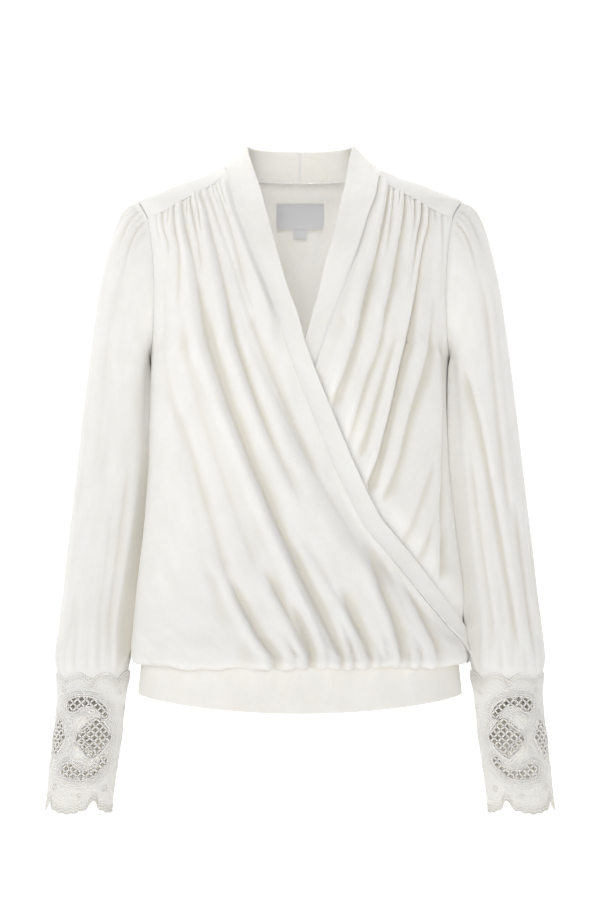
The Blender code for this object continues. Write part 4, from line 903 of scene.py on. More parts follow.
def makeUnderFront(look):
    angle, level, share, nearSide, nearBand = frontGrid(look)
    out = formHalfWidth(level) * np.sin(angle)
    across, height = np.array(overFront["wrap"], float).T[:2]
    seen = -out - np.interp(level, -height, across)
    folds = creaseRelief(out, level, look["folds"], look["strength"])
    height, scale, seed = look["cloud"]
    folds = folds + height * cloud(out, level, scale, seed) * ease(share, *look["cloudShares"])
    full, fold = edgeFades(nearSide, nearBand, level)
    relief = folds * fold * ease(seen, *look["shows"])
    lift = frontFullness(share) * full * ease(seen, *look["swells"]) + relief
    lift = np.maximum(lift, look["least"]) - bandRoll(nearBand)
    lift = lift + panelSizes["underLift"] * fade(seen, *look["rises"])
    lift = mix(lift, panelSizes["underLift"], ease(level, *look["sinksAgain"]))
    lift = lift + sideSwell(nearSide, level)
    outer, inner = (mirrored(face) for face in panelWalls(angle, level, lift))
    # painted shade in the folds, from how deep they lie
    piece = addCloth("underFrontCloth", outer, inner, jersey, clothUv(outer), creaseShade=creaseOf(relief))
    settle(piece, ["front_under"])


backPanel = {
    "grid": (150, 140),
    "least": -0.8,
    "cloud": (0.5, 70, 5),
    "cloudShares": ((0.03, 0.12), (0.9, 1)),
    "folds": (
        (((120, -96), (250, -104), (380, -112), (500, -116)), (0.5, 2.4, 3.2), (7, 13), 0.8),
        (((90, -60), (220, -72), (360, -82), (520, -86)), (0.8, 3.2, 3.4), (6, 12), 1),
        (((200, -34), (330, -46), (520, -52)), (0.6, 2.2, 3.2), (5, 11), 0.8),
        (((150, -2), (300, -8), (440, -16), (520, -18)), (0.3, 1.2, 2.6), (5, 10), 0.6),
        (((110, 44), (240, 58), (380, 62), (520, 60)), (0.6, 3, 3.2), (6, 12), 1),
        (((260, 20), (380, 24), (520, 20)), (0.4, 2, 3.2), (5, 10), 0.8),
        (((130, 84), (260, 96), (400, 100), (520, 97)), (0.5, 2.8, 3), (6, 12), 0.9),
        (((230, 118), (350, 126), (500, 128)), (0.4, 2.2, 2.4), (6, 12), 0.7),
        (((240, -126), (360, -130), (500, -130)), (0.4, 1.8, 2.2), (6, 12), 0.6),
    ),
    "yokeGaps": 1.5, "neckGaps": 0.4,
    "hemUp": 14,
    "hemLevels": ((430, 500), (538, 545)),
    "gatherShape": {"lean": 0.0004, "base": 3.2, "opens": 0.035, "fadesFrom": 0.2},
    # where each gather starts at the seam, its length and its depth
    "hemGathers": ((-138, 40, 2.4), (-124, 64, 3), (-109, 46, 2.8), (-95, 74, 3.2), (-79, 42, 2.6),
                   (-66, 70, 3.2), (-50, 50, 2.8), (-37, 78, 3.2), (-21, 44, 2.8), (-6, 66, 3.2),
                   (9, 48, 2.6), (23, 76, 3.2), (38, 46, 2.8), (54, 68, 3.2), (69, 48, 2.8), (84, 74, 3.2),
                   (98, 42, 2.6), (112, 64, 3), (127, 46, 2.6), (141, 38, 2)),
}


def makeBack(look):
    gap = panelSizes["seamGap"]
    columns, rows = look["grid"]
    share = denseEnds(rows, panelSizes["endPull"])
    sideLevel = mix(bodyForm["yokeLevel"], bodyForm["hemLevel"], share)
    reach = armholeReach(sideLevel, "back") + gap / formHalfWidth(sideLevel)
    left, right = (np.pi / 2 + reach)[:, None], (1.5 * np.pi - reach)[:, None]
    across = np.linspace(0, 1, columns)[None, :]
    shares = np.repeat(share[:, None], columns, axis=1)
    endOut = formHalfWidth(sideLevel)[:, None] * np.sin(left)
    evenOut = mix(-endOut, endOut, across)
    topOut = np.abs(evenOut[0])
    yokeEnd = bodyForm["backYokeSeam"][0][0]
    top = np.where(topOut > yokeEnd, backYokeSeam(topOut) + look["yokeGaps"] * gap,
                   backNeckSeam(topOut) + look["neckGaps"] * gap)
    level = mix(top[None, :], bodyForm["hemLevel"], shares)
    evenly = ease(shares, *panelSizes["angleSpacing"])
    angle = mix(np.pi + angleAt(evenOut, level), mix(left, right, across), evenly)
    out = -formHalfWidth(level) * np.sin(angle)
    nearSide = np.minimum(across, 1 - across) * 2 * endOut
    seam = bodyForm["hemLevel"] - look["hemUp"]
    gathers = hemRelief(out, level, seam, look["hemGathers"], look["gatherShape"])
    height, scale, seed = look["cloud"]
    lift = backFullness(shares) + creaseRelief(out, level, look["folds"])
    lift = lift + gathers * between(level, *look["hemLevels"])
    lift = lift + height * cloud(out, level, scale, seed) * between(shares, *look["cloudShares"])
    lift = np.maximum(lift, look["least"]) * ease(nearSide, 0, panelSizes["sideEdge"])
    outer, inner = panelWalls(angle, level, lift + sideSwell(nearSide, level))
    for atEnd in (False, True):
        outer, inner = seamAllowance(outer, inner, 1, atEnd)
    # painted shade in the folds, carried on over the seam allowances
    creaseShade = np.pad(creaseOf(lift), ((0, 0), (2, 2)), mode="edge")
    piece = addCloth("backCloth", outer, inner, backJersey, clothUv(outer), creaseShade=creaseShade)
    settle(piece, ["back"])


yoke = {"columns": 60, "rows": 44, "puff": 0.5, "ends": (0.0, 0.996), "across": 0.992, "spacing": 1.4,
        "puffEnds": ((0, 0.1), (0.9, 1)), "edgeDrop": 0.5, "edgeFrom": 0.93}


def makeYoke(name, side, look):
    across = np.linspace(-1, 1, look["rows"])
    across = np.sign(across) * np.abs(across) ** look["spacing"] * look["across"]
    across, along = np.meshgrid(across, np.linspace(*look["ends"], look["columns"]), indexing="ij")
    angle, level = yokePlace(along, across)
    lift = look["puff"] * (1 - across ** 4) * between(along, *look["puffEnds"])
    lift = lift - look["edgeDrop"] * ease(np.abs(across), look["edgeFrom"], 1)
    outer, inner = panelWalls(angle, level, lift)
    for atEnd in (False, True):
        outer, inner = seamAllowance(outer, inner, 0, atEnd)
    outer, inner = (mirrored(face, side < 0) for face in (outer, inner))
    piece = addCloth(name + "Cloth", outer, inner, jersey, clothUv(outer))
    settle(piece, [name])


makeOverFront(overFront)
makeUnderFront(underFront)
makeBack(backPanel)
for hand, side in (("right", -1), ("left", 1)):
    makeYoke("yoke_" + hand, side, yoke)
print("fronts, back and yokes made")


neckband = {
    "wall": 2.2,
    "puff": 0.8,             # the doubled cloth stands up between its edges
    "puffPower": 0.8, "puffEnd": 40, "puffBelow": 0.4,
    "unevenness": 0.3, "unevenScale": 34, "seeds": {-1: 10, 1: 12},
    "seamRoll": 0.2, "rollWidth": 2.2, "rollFrom": 3,
    "centreGap": 0.06,
    "centreGroove": 0.35, "grooveWidth": 1.6,
    "allowance": 1.0, "allowanceDrop": 0.9,
    "columns": 20,
    "rowsBehind": 70, "rowsOver": 55, "rowsInFront": 230,
    "stopLength": 30.0,
    "overLift": 0.6,
    "bandsPart": (60, 150),
    "roundFrom": (120, 200),     # between these levels the cloth takes up the body's own roundness
    "lastCollarStops": (-0.55, 0.12),
    "seamShares": (0.0, 0.03, 0.07), "middleShares": (0.13, 0.9),
    "edgeShares": (0.94, 0.965, 0.983, 0.995, 1.0),
    "backStops": (0, 14, 28, 42, 54, 64, 71),
    "yokeStops": (1, 0.55, 0, -0.5, -1),
    "collarEdge": ((0, 57, 24), (13, 56.8, 24.1), (26, 55.5, 24.4), (37, 51.5, 24.8), (45, 45, 25.1),
                   (50, 37, 25.3), (53, 27, 25.5), (55.5, 16, 25.6), (56.5, 4, 25.4), (56.3, -8, 24.5),
                   (55, -20, 19), (52.5, -34, 8)),   # free edge behind the neck: out, y, height
}


def roundEdge(distance, wall):
    # half thickness of a folded edge: a half circle as wide as the wall, then even
    radius = wall / 2
    return radius * np.sqrt(1 - (1 - np.clip(distance / radius, 0, 1)) ** 2)


def makeNeckband(name, side, front, look):
    # the seam follows the back, then the yoke, then this side's own front; the free edge is
    # a curve through its own places, and the cloth lies straight between the two
    backOut = np.array(look["backStops"] + (bodyForm["backYokeSeam"][0][0],), float)
    turnStop = len(backOut) - 1
    frontStop = turnStop + len(look["yokeStops"]) - 1
    backStop = np.linspace(0, turnStop, look["rowsBehind"])
    yokeStop = np.linspace(turnStop, frontStop, look["rowsOver"])[1:]
    outs = np.interp(backStop, np.arange(turnStop + 1), backOut)
    yokeAcross = np.interp(yokeStop, np.arange(turnStop, frontStop + 1), look["yokeStops"])
    yokeAngle, yokeLevel = yokePlace(0 * yokeStop, yokeAcross)
    seamOf, seamEnd = bandSeam(front)
    start = bandStart()
    chestLevel = np.linspace(start, seamEnd, look["rowsInFront"])[1:]
    angle = np.concatenate([angleAt(outs, backNeckSeam(outs)) - np.pi, -yokeAngle, seamOf(chestLevel)])
    level = np.concatenate([backNeckSeam(outs), yokeLevel, chestLevel])
    stops = np.concatenate([backStop, yokeStop, frontStop + (chestLevel - start) / look["stopLength"]])
    sunk = panelSizes["bandLift"] if side > 0 else 0.0
    edgeAngle, edgeLevel, _, seamLevel = wrapPath(front["wrap"])
    edgeStops = frontStop + (seamLevel - start) / look["stopLength"]
    rise = (look["overLift"] if side < 0 else sunk) * ease(edgeLevel, *look["bandsPart"])
    chest = bodyPoint(edgeAngle, edgeLevel) + bodyNormal(edgeAngle, edgeLevel) * rise[:, None]
    collar = mirrored(np.array(look["collarEdge"], float))
    lastStops = [frontStop + shift for shift in look["lastCollarStops"]]
    collarStops = np.append(np.arange(len(collar) - 2), lastStops)
    edge = splineAt(np.concatenate([collarStops, edgeStops]), np.concatenate([collar, chest]), stops)
    seamSink = sunk * ease(level, *look["bandsPart"]) * (stops > frontStop)
    seam = bodyPoint(angle, level) + bodyNormal(angle, level) * seamSink[:, None]
    width = np.linalg.norm(edge - seam, axis=1)[:, None]
    first, last = look["seamShares"], look["edgeShares"]
    middle = np.linspace(*look["middleShares"], look["columns"] - len(first) - len(last))
    share = np.concatenate([first, middle, last])[None, :]
    straight = mix(seam[:, None], edge[:, None], share[..., None])
    # lower down the cloth lies round the body's form instead
    roundAngle, roundLevel, roundLift = (
        mix(atSeam[:, None], np.interp(stops, edgeStops, atEdge)[:, None], share)
        for atSeam, atEdge in ((angle, edgeAngle), (level, edgeLevel), (seamSink, rise)))
    curved = bodyPoint(roundAngle, roundLevel) + bodyNormal(roundAngle, roundLevel) * roundLift[..., None]
    face = mix(straight, curved, ease(level * (stops > frontStop), *look["roundFrom"])[:, None, None])
    normal = unit(np.cross(np.gradient(face, axis=1), np.gradient(face, axis=0)))
    half = roundEdge((1 - share) * width, look["wall"])
    along = wayAlong((seam + edge) / 2)[:, None]
    swell = np.sin(np.pi * share) ** look["puffPower"] * ease(along[-1] - along, 0, look["puffEnd"])
    uneven = cloud(along + 0 * share, width * share, look["unevenScale"], look["seeds"][side])
    puff = look["puff"] * swell + look["unevenness"] * uneven * swell
    roll = look["seamRoll"] * fade(share * width, 0, look["rollWidth"])
    puff = puff - roll * ease(along, 0, look["rollFrom"])
    groove = look["centreGroove"] * fade(along, 0, look["grooveWidth"])
    centre = face - normal * look["wall"] / 2
    outer = centre + normal * (half + puff - groove)[..., None]
    inner = centre - normal * (half - puff * look["puffBelow"] - groove)[..., None]
    outer[0, :, 0] = inner[0, :, 0] = -look["centreGap"]
    drop = look["wall"] + look["allowanceDrop"]
    outer, inner = seamAllowance(outer, inner, 1, False, length=look["allowance"], depth=drop)
    outer, inner = (mirrored(face, side > 0) for face in (outer, inner))
    piece = addCloth(name + "Cloth", outer, inner, neckJersey, clothUv(outer))
    settle(piece, [name])


makeNeckband("neckband_right", -1, overFront, neckband)
makeNeckband("neckband_left", 1, underFront, neckband)
print("neckband made")


hemBand = {
    # share of the way down, half width, depth in front and behind
    "rows": ((0.0, 171, 106, 95), (0.5, 172.8, 107.6, 96.6), (1.0, 175, 109.5, 98)),
    "wall": 2.2,
    "top": -528.5,
    "sideBottom": -565.0,
    "frontBottom": -580.0,
    "backBottom": -574.0,
    "grid": (230, 22),
    "evenDown": 0.93, "lastDowns": (0.955, 0.975, 0.99, 1.0),
    "puff": 0.7, "puffPower": 0.7, "innerShare": 0.5,
    "cloud": (0.3, 45), "seeds": {False: 21, True: 22},
    "flatSide": 0.12, "allowanceDrop": 0.4,
    "creaseEnds": ((0, 0.1), (0.85, 1)), "creaseFades": 0.6,
    # soft creases: out at the top and at the bottom, width, height
    "frontCreases": ((-46, -66, 7, -2.6), (-27, -52, 5, 2.2), (-14, -34, 5, -2.8), (2, -14, 4.5, 2.4),
                     (17, 2, 6, -2.4), (34, 24, 6, 1.6), (60, 54, 10, -1.8), (82, 84, 8, 1.5),
                     (104, 104, 9, -1.4), (-104, -108, 14, 1.2), (-84, -92, 8, -1.5), (128, 134, 10, -1.5)),
    "backCreases": ((-90, -84, 9, -0.8), (-40, -48, 7, 0.7), (-6, 4, 8, -0.9), (48, 42, 7, 0.8),
                    (92, 98, 10, -0.7)),
}


def makeHemBand(name, behind, look):
    share, halfWidths, fronts, backs = np.array(look["rows"], float).T
    halfWidthAt = smoothCurve(share, halfWidths)
    depthAt = smoothCurve(share, backs if behind else fronts)
    columns, rows = look["grid"]
    turn = np.pi / 2 - panelSizes["seamGap"] / 2 / halfWidths[1]
    evenDowns = np.linspace(0, look["evenDown"], rows - len(look["lastDowns"]))
    angle, down = np.meshgrid(np.linspace(-turn, turn, columns), np.append(evenDowns, look["lastDowns"]))
    middleBottom = look["backBottom"] if behind else look["frontBottom"]
    bottom = mix(look["sideBottom"], middleBottom, np.cos(angle) ** 2)
    height = mix(look["top"], bottom, down)
    out = halfWidthAt(down) * np.sin(angle)
    lift = look["puff"] * np.sin(np.pi * down) ** look["puffPower"]
    strength = (1 - look["creaseFades"] * down) * between(down, *look["creaseEnds"])
    for top, low, width, rise in look["backCreases" if behind else "frontCreases"]:
        lift = lift + rise * strength * bell(out - mix(top, low, down), width)
    rise, scale = look["cloud"]
    lift = lift + rise * cloud(out, height, scale, look["seeds"][behind]) * np.sin(np.pi * down)
    lift = lift * ease(np.pi / 2 - np.abs(angle), 0, look["flatSide"])
    half = roundEdge((1 - down) * (look["top"] - bottom), look["wall"])
    full = 1 + bodyForm["squareness"] * np.sin(angle) ** 2

    def face(offset):
        # the body's own stacked ovals, an offset wider
        x = (halfWidthAt(down) + offset) * np.sin(angle)
        y = (depthAt(down) + offset) * np.cos(angle) * full
        return np.stack([x, y if behind else -y, height], axis=-1)

    outer = face(lift - look["wall"] / 2 + half)
    inner = face(lift * look["innerShare"] - look["wall"] / 2 - half)
    for atEnd in (False, True) if behind else ():
        outer, inner = seamAllowance(outer, inner, 1, atEnd, depth=look["wall"] + look["allowanceDrop"])
    piece = addCloth(name + "Cloth", outer, inner, bandJersey, clothUv(outer))
    settle(piece, [name])


makeHemBand("hem_band_front", False, hemBand)
makeHemBand("hem_band_back", True, hemBand)
print("hem band made")


sleeve = {
    "grid": (140, 140),       # columns round, rings down
    # share, outer end, its height, inner end, its height, depths before and behind, middle
    "sections": (
        (0.00, 176.5, -35, 162.2, -204.6, 48, 48, 0), (0.04, 188.5, -43, 162.7, -207, 50, 50, 0),
        (0.09, 198.5, -63, 162.7, -213, 51, 51, 0), (0.15, 206.5, -91, 162.6, -222, 51, 51, 0),
        (0.23, 215.5, -134, 162.3, -237, 49.5, 50.5, 0), (0.33, 223.3, -190, 162.2, -262, 47, 49, -1),
        (0.44, 231.2, -254, 163.4, -299, 45, 47, -2), (0.56, 239.5, -325, 167.2, -350, 43, 44.5, -3),
        (0.68, 246.8, -387, 172.6, -402, 41, 42.5, -4), (0.80, 254.0, -450, 179.0, -457, 40, 41, -5),
        (0.89, 259.3, -496, 183.2, -498, 39, 39.5, -6), (0.96, 262.5, -530, 184.0, -529, 36, 36, -6),
        (0.98, 261.0, -541, 185.2, -540, 33.2, 33.2, -6), (1.00, 258.2, -555, 189.0, -554, 29.5, 29.5, -6)),
    "fullness": 0.12,
    "headFade": 0.24,
    "endPull": 0.55,
    "seamGap": 0.1,
    "puff": 1.4, "puffFrom": 0.03,
    "foldStrength": 1.35,
    "foldStarts": 0.14, "foldEnds": 0.12,          # shares over which a fold comes in and dies away
    "ridge": 0.35, "ridgePlace": 2.2, "ridgeWidth": 1.6,
    "headStrength": 1.7, "headWidths": (2.0, 20), "headFan": 5, "headFull": 0.008, "headHolds": 0.25,
    "cuffStrength": 0.8, "cuffWidths": (11, 4.2), "cuffNarrows": (0.8, 0.96),
    "cuffStarts": (0.78, 0.03), "cuffFull": 0.95, "cuffEnds": (0.955, 0.985),
    "bulge": (0.9, ((0.8, 0.93), (0.95, 0.98))),   # fullness above the cuff
    "cloud": (0.5, 0.9, 520, 80), "cloudShares": ((0.05, 0.2), (0.85, 0.95)),
    "headSeam": 0.02,
    "plainSide": (0.6, 0.93),                      # minus the cosine where the inner side gets plain
    # degrees where the plain inner side begins, against the share
    "rightStrip": ((0.0, 156), (0.33, 150), (0.56, 144), (0.8, 135), (1.0, 130)),
    "leftStrip": ((0.0, 150), (0.33, 141), (0.56, 136), (0.8, 136), (1.0, 140)),
    # how far back each sleeve's strip lies, and the strip depth at which its painted shade is full
    "stripDepths": (9.0, 3.0), "fullShadeDepth": 9.0,
    # the strip lies back between these degrees and shares, and against the body between those
    "backDegrees": (-3, 6), "backEnds": (176, 205), "backShares": ((0.3, 0.65), (0.93, 0.99)),
    "bodyRoom": 0.7, "bodyLevels": (0, 531, 600), "firstFullness": 1.2, "rounds": 3,
    "snugMost": 26.0,
    "snugTurn": 12.0, "snugEnds": (225, 262), "snugShares": ((0.02, 0.14), (0.92, 0.985)),
    # how much painted shade the sleeve's folds get
    "creaseShadeShare": 0.8,
    "girthRing": 40,          # the ring that gives the cloth its own width
    # degrees round from the outer line towards the front at head, elbow and cuff, depth,
    # (steep side, soft side) in degrees, and the shares between which it runs
    "rightFolds": (
        (58, 62, 56, 1.2, (10, 22), 0.04, 0.62),
        (84, 80, 84, 0.9, (12, 22), 0.3, 0.97),
        (104, 98, 100, 2, (9, 22), 0.55, 0.98),
        (124, 120, 116, 2.2, (9, 18), 0.45, 0.98),
        (30, 34, 26, 0.9, (12, 20), 0.1, 0.7),
        (10, 16, 12, 1, (9, 16), 0.62, 0.98),
        (60, 58, 48, 1.4, (7, 14), 0.74, 0.98),
        (-50, -56, -52, 2.8, (8, 17), 0.05, 0.75),
        (-92, -88, -94, 2.4, (8, 18), 0.3, 0.97),
        (-130, -126, -120, 2, (8, 15), 0.15, 0.9),
    ),
    "leftFolds": (
        (60, 64, 58, 2.4, (6, 17), 0.1, 0.7),
        (40, 46, 40, 1.6, (7, 16), 0.14, 0.6),
        (158, 94, 70, 4.2, (5, 17), 0.2, 0.98),
        (126, 120, 112, 2.6, (7, 15), 0.42, 0.98),
        (106, 102, 92, 1.8, (6, 12), 0.66, 0.98),
        (44, 50, 44, 2.6, (6, 13), 0.55, 0.98),
        (14, 18, 12, 1.8, (6, 14), 0.6, 0.98),
        (-46, -54, -50, 2.8, (8, 17), 0.05, 0.75),
        (-90, -86, -92, 2.4, (8, 18), 0.3, 0.97),
        (-128, -124, -118, 2, (8, 15), 0.15, 0.9),
    ),
    # gathers at the head: degrees round, share where they end, depth
    "headGathers": ((3, 0.08, 1.4), (10, 0.13, 1.8), (17, 0.09, 1.6), (24, 0.15, 2), (31, 0.1, 1.6),
                    (38, 0.14, 1.8), (46, 0.08, 1.2), (-4, 0.09, 1.3), (-10, 0.12, 1.5), (-17, 0.08, 1.3),
                    (-24, 0.13, 1.5), (-31, 0.08, 1.2), (-39, 0.11, 1.1), (-48, 0.07, 0.8)),
    "cuffGathers": ((-168, 1.4), (-146, 2), (-121, 1.6), (-99, 2.2), (-80, 1.5), (-60, 2.1), (-38, 1.6),
                    (-17, 2), (6, 1.5), (27, 2.1), (44, 1.4), (63, 2.2), (84, 1.7), (102, 2.4), (121, 1.6),
                    (142, 2.2), (163, 1.4)),
}


def sleeveRings(look):
    # rings go from the armhole's own shape to ovals, and a point keeps its share of the way round
    levels = armholeRows[:, 0]
    front = bodyPoint(np.pi / 2 - armholeReach(levels, "front"), levels)
    back = bodyPoint(np.pi / 2 + armholeReach(levels, "back"), levels)
    corners = np.concatenate([front, back[-2:0:-1], front[:1]])
    wrapped = np.concatenate([corners[-4:-1], corners, corners[1:4]])
    way = wayAlong(wrapped)
    columns, rows = look["grid"]
    where = np.linspace(way[3], way[-4], columns, endpoint=False)
    loop = splineAt(way, wrapped, where)
    share = denseEnds(rows, look["endPull"])
    shares = (where - where[0]) / (way[-4] - way[3])
    bottom = shares[np.argmin(loop[:, 2])]
    turn = np.where(shares <= bottom, shares / bottom, 1 + (shares - bottom) / (1 - bottom)) * np.pi
    stops, *rows = np.array(look["sections"], float).T
    outX, outZ, inX, inZ, before, behind, middle = (smoothCurve(stops, row)(share)[:, None] for row in rows)
    turn = turn[None, :] + 0 * share[:, None]
    lengthwise = np.cos(turn)
    x = mix(inX, outX, (1 + lengthwise) / 2)
    z = mix(inZ, outZ, (1 + lengthwise) / 2)
    depth = np.where(np.sin(turn) > 0, before, behind)
    y = middle - depth * np.sin(turn) * (1 + look["fullness"] * lengthwise ** 2)
    rings = np.stack([x, y, z], axis=-1)
    loop = loop + np.array([look["seamGap"], 0.0, 0.0])
    headShare = np.clip(1 - share[:, None, None] / look["headFade"], 0, 1) ** 2
    return rings + (loop - rings[0]) * headShare, turn, share[:, None] + 0 * turn


def wrapDegrees(value):
    return (value + 180) % 360 - 180


def sleeveRelief(turn, share, folds, look, seed):
    # long folds with a steep and a soft side, gathers at the head and above the cuff
    degrees = wrapDegrees(np.degrees(turn))
    lift = look["puff"] * ease(share, 0.0, look["puffFrom"])
    for *places, depth, (steep, soft), begin, end in folds:
        away = wrapDegrees(degrees - smoothCurve((0, 0.5, 1), places)(share))
        run = between(share, (begin, begin + look["foldStarts"]), (end - look["foldEnds"], end))
        trough = look["foldStrength"] * valley(away, np.where(away < 0, steep, soft))
        ridge = look["ridge"] * bell(away + look["ridgePlace"] * steep, look["ridgeWidth"] * steep)
        lift = lift + depth * run * (ridge - trough)
    base, opens = look["headWidths"]
    for place, end, depth in look["headGathers"]:
        away = wrapDegrees(degrees - place * (1 + look["headFan"] * share))
        run = between(share, (0, look["headFull"]), (look["headHolds"] * end, end))
        lift = lift - look["headStrength"] * depth * bell(away, base + opens * share) * run
    width = mix(*look["cuffWidths"], ease(share, *look["cuffNarrows"]))
    begin, spread = look["cuffStarts"]
    for place, depth in look["cuffGathers"]:
        run = between(share, (begin + spread * np.sin(place), look["cuffFull"]), look["cuffEnds"])
        lift = lift - look["cuffStrength"] * depth * bell(wrapDegrees(degrees - place), width) * run
    bulge, shares = look["bulge"]
    lift = lift + bulge * between(share, *shares)
    height, degreeSize, length, scale = look["cloud"]
    uneven = cloud(degrees * degreeSize, share * length, scale, seed)
    lift = lift + height * uneven * between(share, *look["cloudShares"])
    return lift * fade(-np.cos(turn), *look["plainSide"]) * ease(share, 0.0, look["headSeam"])


def bodySide(y, z, look):
    # how far out the body reaches at a depth and height: its sine, from the cosine found in
    # a few rounds that start from a middling fullness
    levels = np.linspace(*look["bodyLevels"])
    level = np.interp(-z, -formHeight(levels), levels)
    depth = np.where(y < 0, formFront(level), formBack(level))
    cosine = np.abs(y) / depth / look["firstFullness"]
    for _ in range(look["rounds"]):
        cosine = np.abs(y) / depth / (1 + bodyForm["squareness"] * (1 - cosine ** 2))
    return formHalfWidth(level) * np.sqrt(np.clip(1 - cosine ** 2, 0, 1))


def makeSleeve(name, side, folds, strip, depth, seed, look):
    rings, turn, share = sleeveRings(look)
    degrees = np.degrees(turn)
    # the inner side lies back behind the fold in front of it, and against the body behind
    edge = smoothCurve(*np.array(strip, float).T)(share)
    near, full = look["backDegrees"]
    lieBack = ease(degrees, edge + near, edge + full) * fade(degrees, *look["backEnds"])
    lieBack = lieBack * between(share, *look["backShares"])
    rings[..., 1] += depth * lieBack
    room = rings[..., 0] - bodySide(rings[..., 1], rings[..., 2], look) - look["bodyRoom"]
    snug = ease(degrees, edge, edge + look["snugTurn"]) * fade(degrees, *look["snugEnds"])
    snug = snug * between(share, *look["snugShares"])
    rings[..., 0] -= np.clip(room, 0, look["snugMost"]) * snug
    roundIt = np.roll(rings, -1, axis=1) - np.roll(rings, 1, axis=1)
    normal = unit(np.cross(roundIt, np.gradient(rings, axis=0)))
    lift = sleeveRelief(turn, share, folds, look, seed)
    outer, inner = seamAllowance(*wallsOn(rings, normal, lift), 0, False)
    # painted shade in the folds, and over the strip that lies back against the body
    creaseShade = np.maximum(creaseOf(lift) * look["creaseShadeShare"], depth / look["fullShadeDepth"] * lieBack)
    creaseShade = np.pad(creaseShade, ((2, 0), (0, 0)), mode="edge")
    girth = np.linalg.norm(np.roll(rings, -1, axis=1) - rings, axis=-1)
    girth = girth[look["girthRing"]].sum()
    down = wayAlong(outer[:, 0])[:, None]
    # the cloth's own way round folds back at the inner seam, so no thread jumps there
    foldedBack = girth / 2 * (1 - np.abs(turn[:1] / np.pi - 1))
    uv = np.stack([foldedBack + 0 * down, down + 0 * turn[:1]], axis=-1)
    outer, inner = (mirrored(face, side < 0) for face in (outer, inner))
    piece = addCloth(name + "Cloth", outer, inner, jersey, uv, closed=True, creaseShade=creaseShade)
    settle(piece, [name])


for hand, side, seed, depth in zip(("right", "left"), (-1, 1), (31, 32), sleeve["stripDepths"]):
    makeSleeve("sleeve_" + hand, side, sleeve[hand + "Folds"], sleeve[hand + "Strip"], depth, seed, sleeve)
print("sleeves made")


cuff = {
    # height, outer and inner end, depths
    "sections": ((-700, 275.4, 204.0, 30.0), (-650, 271.0, 197.6, 30.0), (-620, 267.6, 193.0, 30.5),
                 (-590, 263.8, 189.8, 31.4), (-562, 262.0, 186.4, 32.8), (-550, 262.0, 184.6, 33.6),
                 (-540, 262.6, 183.2, 34.2)),
    "top": -540.0,
    "middle": -6.0,
    "halfGirth": 53.0,
    "wall": 1.2,
    "scallopStep": 26.5, "scallopDepth": 9.0,
    "lobeStep": 53.0, "notchPlace": 15.7, "notchDepth": 7.0, "lobeRise": 8.0, "notchHalf": 4.6,
    "smallStep": 8.83, "smallDepth": 1.7,
    "length": 153.0,
    "grid": (180, 128),
    "netPitch": 5.87, "netThreads": 12, "netReach": 70, "netStep": 0.8, "barPast": 0.6, "barLeast": 3,
    "backMargin": 1, "uvStart": 200,
    "slopeStep": 0.05,
    "netPull": 0.62,         # points nearer than this share of a cell are pulled onto a net's edge
    "diamonds": ((8.3, 70.5, 19, 23), (-33.2, 70.5, 12, 19.5)),     # across, down, half width, half height
    "diamondRoundness": 1.3,
    # across, down, radius, degrees from and to, half width at each end
    "arcs": ((-4, 53, 21.5, -126, -18, 8.0, 5.0), (0, 88, 22.5, 18, 131, 5.0, 8.0)), "arcWaist": 1.6,
    "flowers": ((-30, 20, 1.1), (33, 22, 1.1), (3, 15.5, 0.9), (28, 126, 1.1), (-30, 124, 1.1),
                (0, 133, 0.9), (46, 40, 1), (47, 104, 1)),     # across, down, size
    "petals": 6, "petalPlace": 2.7, "flowerRise": 0.15,
    "scrolls": ((-7, 54, 11.5), (-4, 86, 12.0)), "scrollRise": 1.3,
    # the surface's own relief: height, place and width beside a net, and how far the net sinks
    "netRidge": (0.35, 3.0, 2.2), "netSinks": (0.5, 1.5),
    # dimples, and ribs at the rim: height, radians of wave per millimetre, where they come or go
    "groundRise": (0.25, 2.1, 6, 10),
    "rimRise": (0.3, 1.6, 12, 16),
    # cords as radius, height over the lace, length of a step
    "barCord": (1.0, -0.6, 1.3), "borderCord": (0.85, 0.05, 1.3), "ribCord": (0.6, 0.05, 1.6),
    "scrollCord": (0.5, -0.1, 1.8), "scrollInsets": (0.4, 3.4),
    # knots as radius, height over the lace, distance apart
    "netKnots": (0.95, 0.35, 2.9), "rimKnotRise": 0.25,
    "rimKnots": ((0.6, 1.1, 2.6), (3.9, 0.85, 2.7), (7.1, 0.75, 2.9)),     # inset, radius, apart
    "borderWay": 0.0, "ribWay": 4.6, "knotWay": 2.4,      # how far out of a net each line runs
    "lineDowns": (12, 140), "lineLeast": 8, "ringPoints": 60, "rimPoints": 900,
    "cordSides": 6, "knotSides": 8, "knotRings": 3,
}
cuffTable = np.array(cuff["sections"], float).T
cuffOuter, cuffInner, cuffDepth = (smoothCurve(cuffTable[0], row) for row in cuffTable[1:])


def cuffPoint(across, down, lift):
    # flat lace rolled round the wrist, a quarter turn for each quarter of the girth: sine times
    # half width from the middle, and cosine times depth before it
    height = cuff["top"] - down
    turn = across / cuff["halfGirth"] * np.pi / 2
    outer, inner, depth = cuffOuter(height), cuffInner(height), cuffDepth(height)
    x = (outer + inner) / 2 - ((outer - inner) / 2 + lift) * np.sin(turn)
    y = cuff["middle"] - (depth + lift) * np.cos(turn)
    return np.stack([x, y, height], axis=-1)


def laceTop(across):
    # scallops: 1 less the size of a sine
    return cuff["scallopDepth"] * (1 - np.abs(np.sin(np.pi * across / cuff["scallopStep"])))


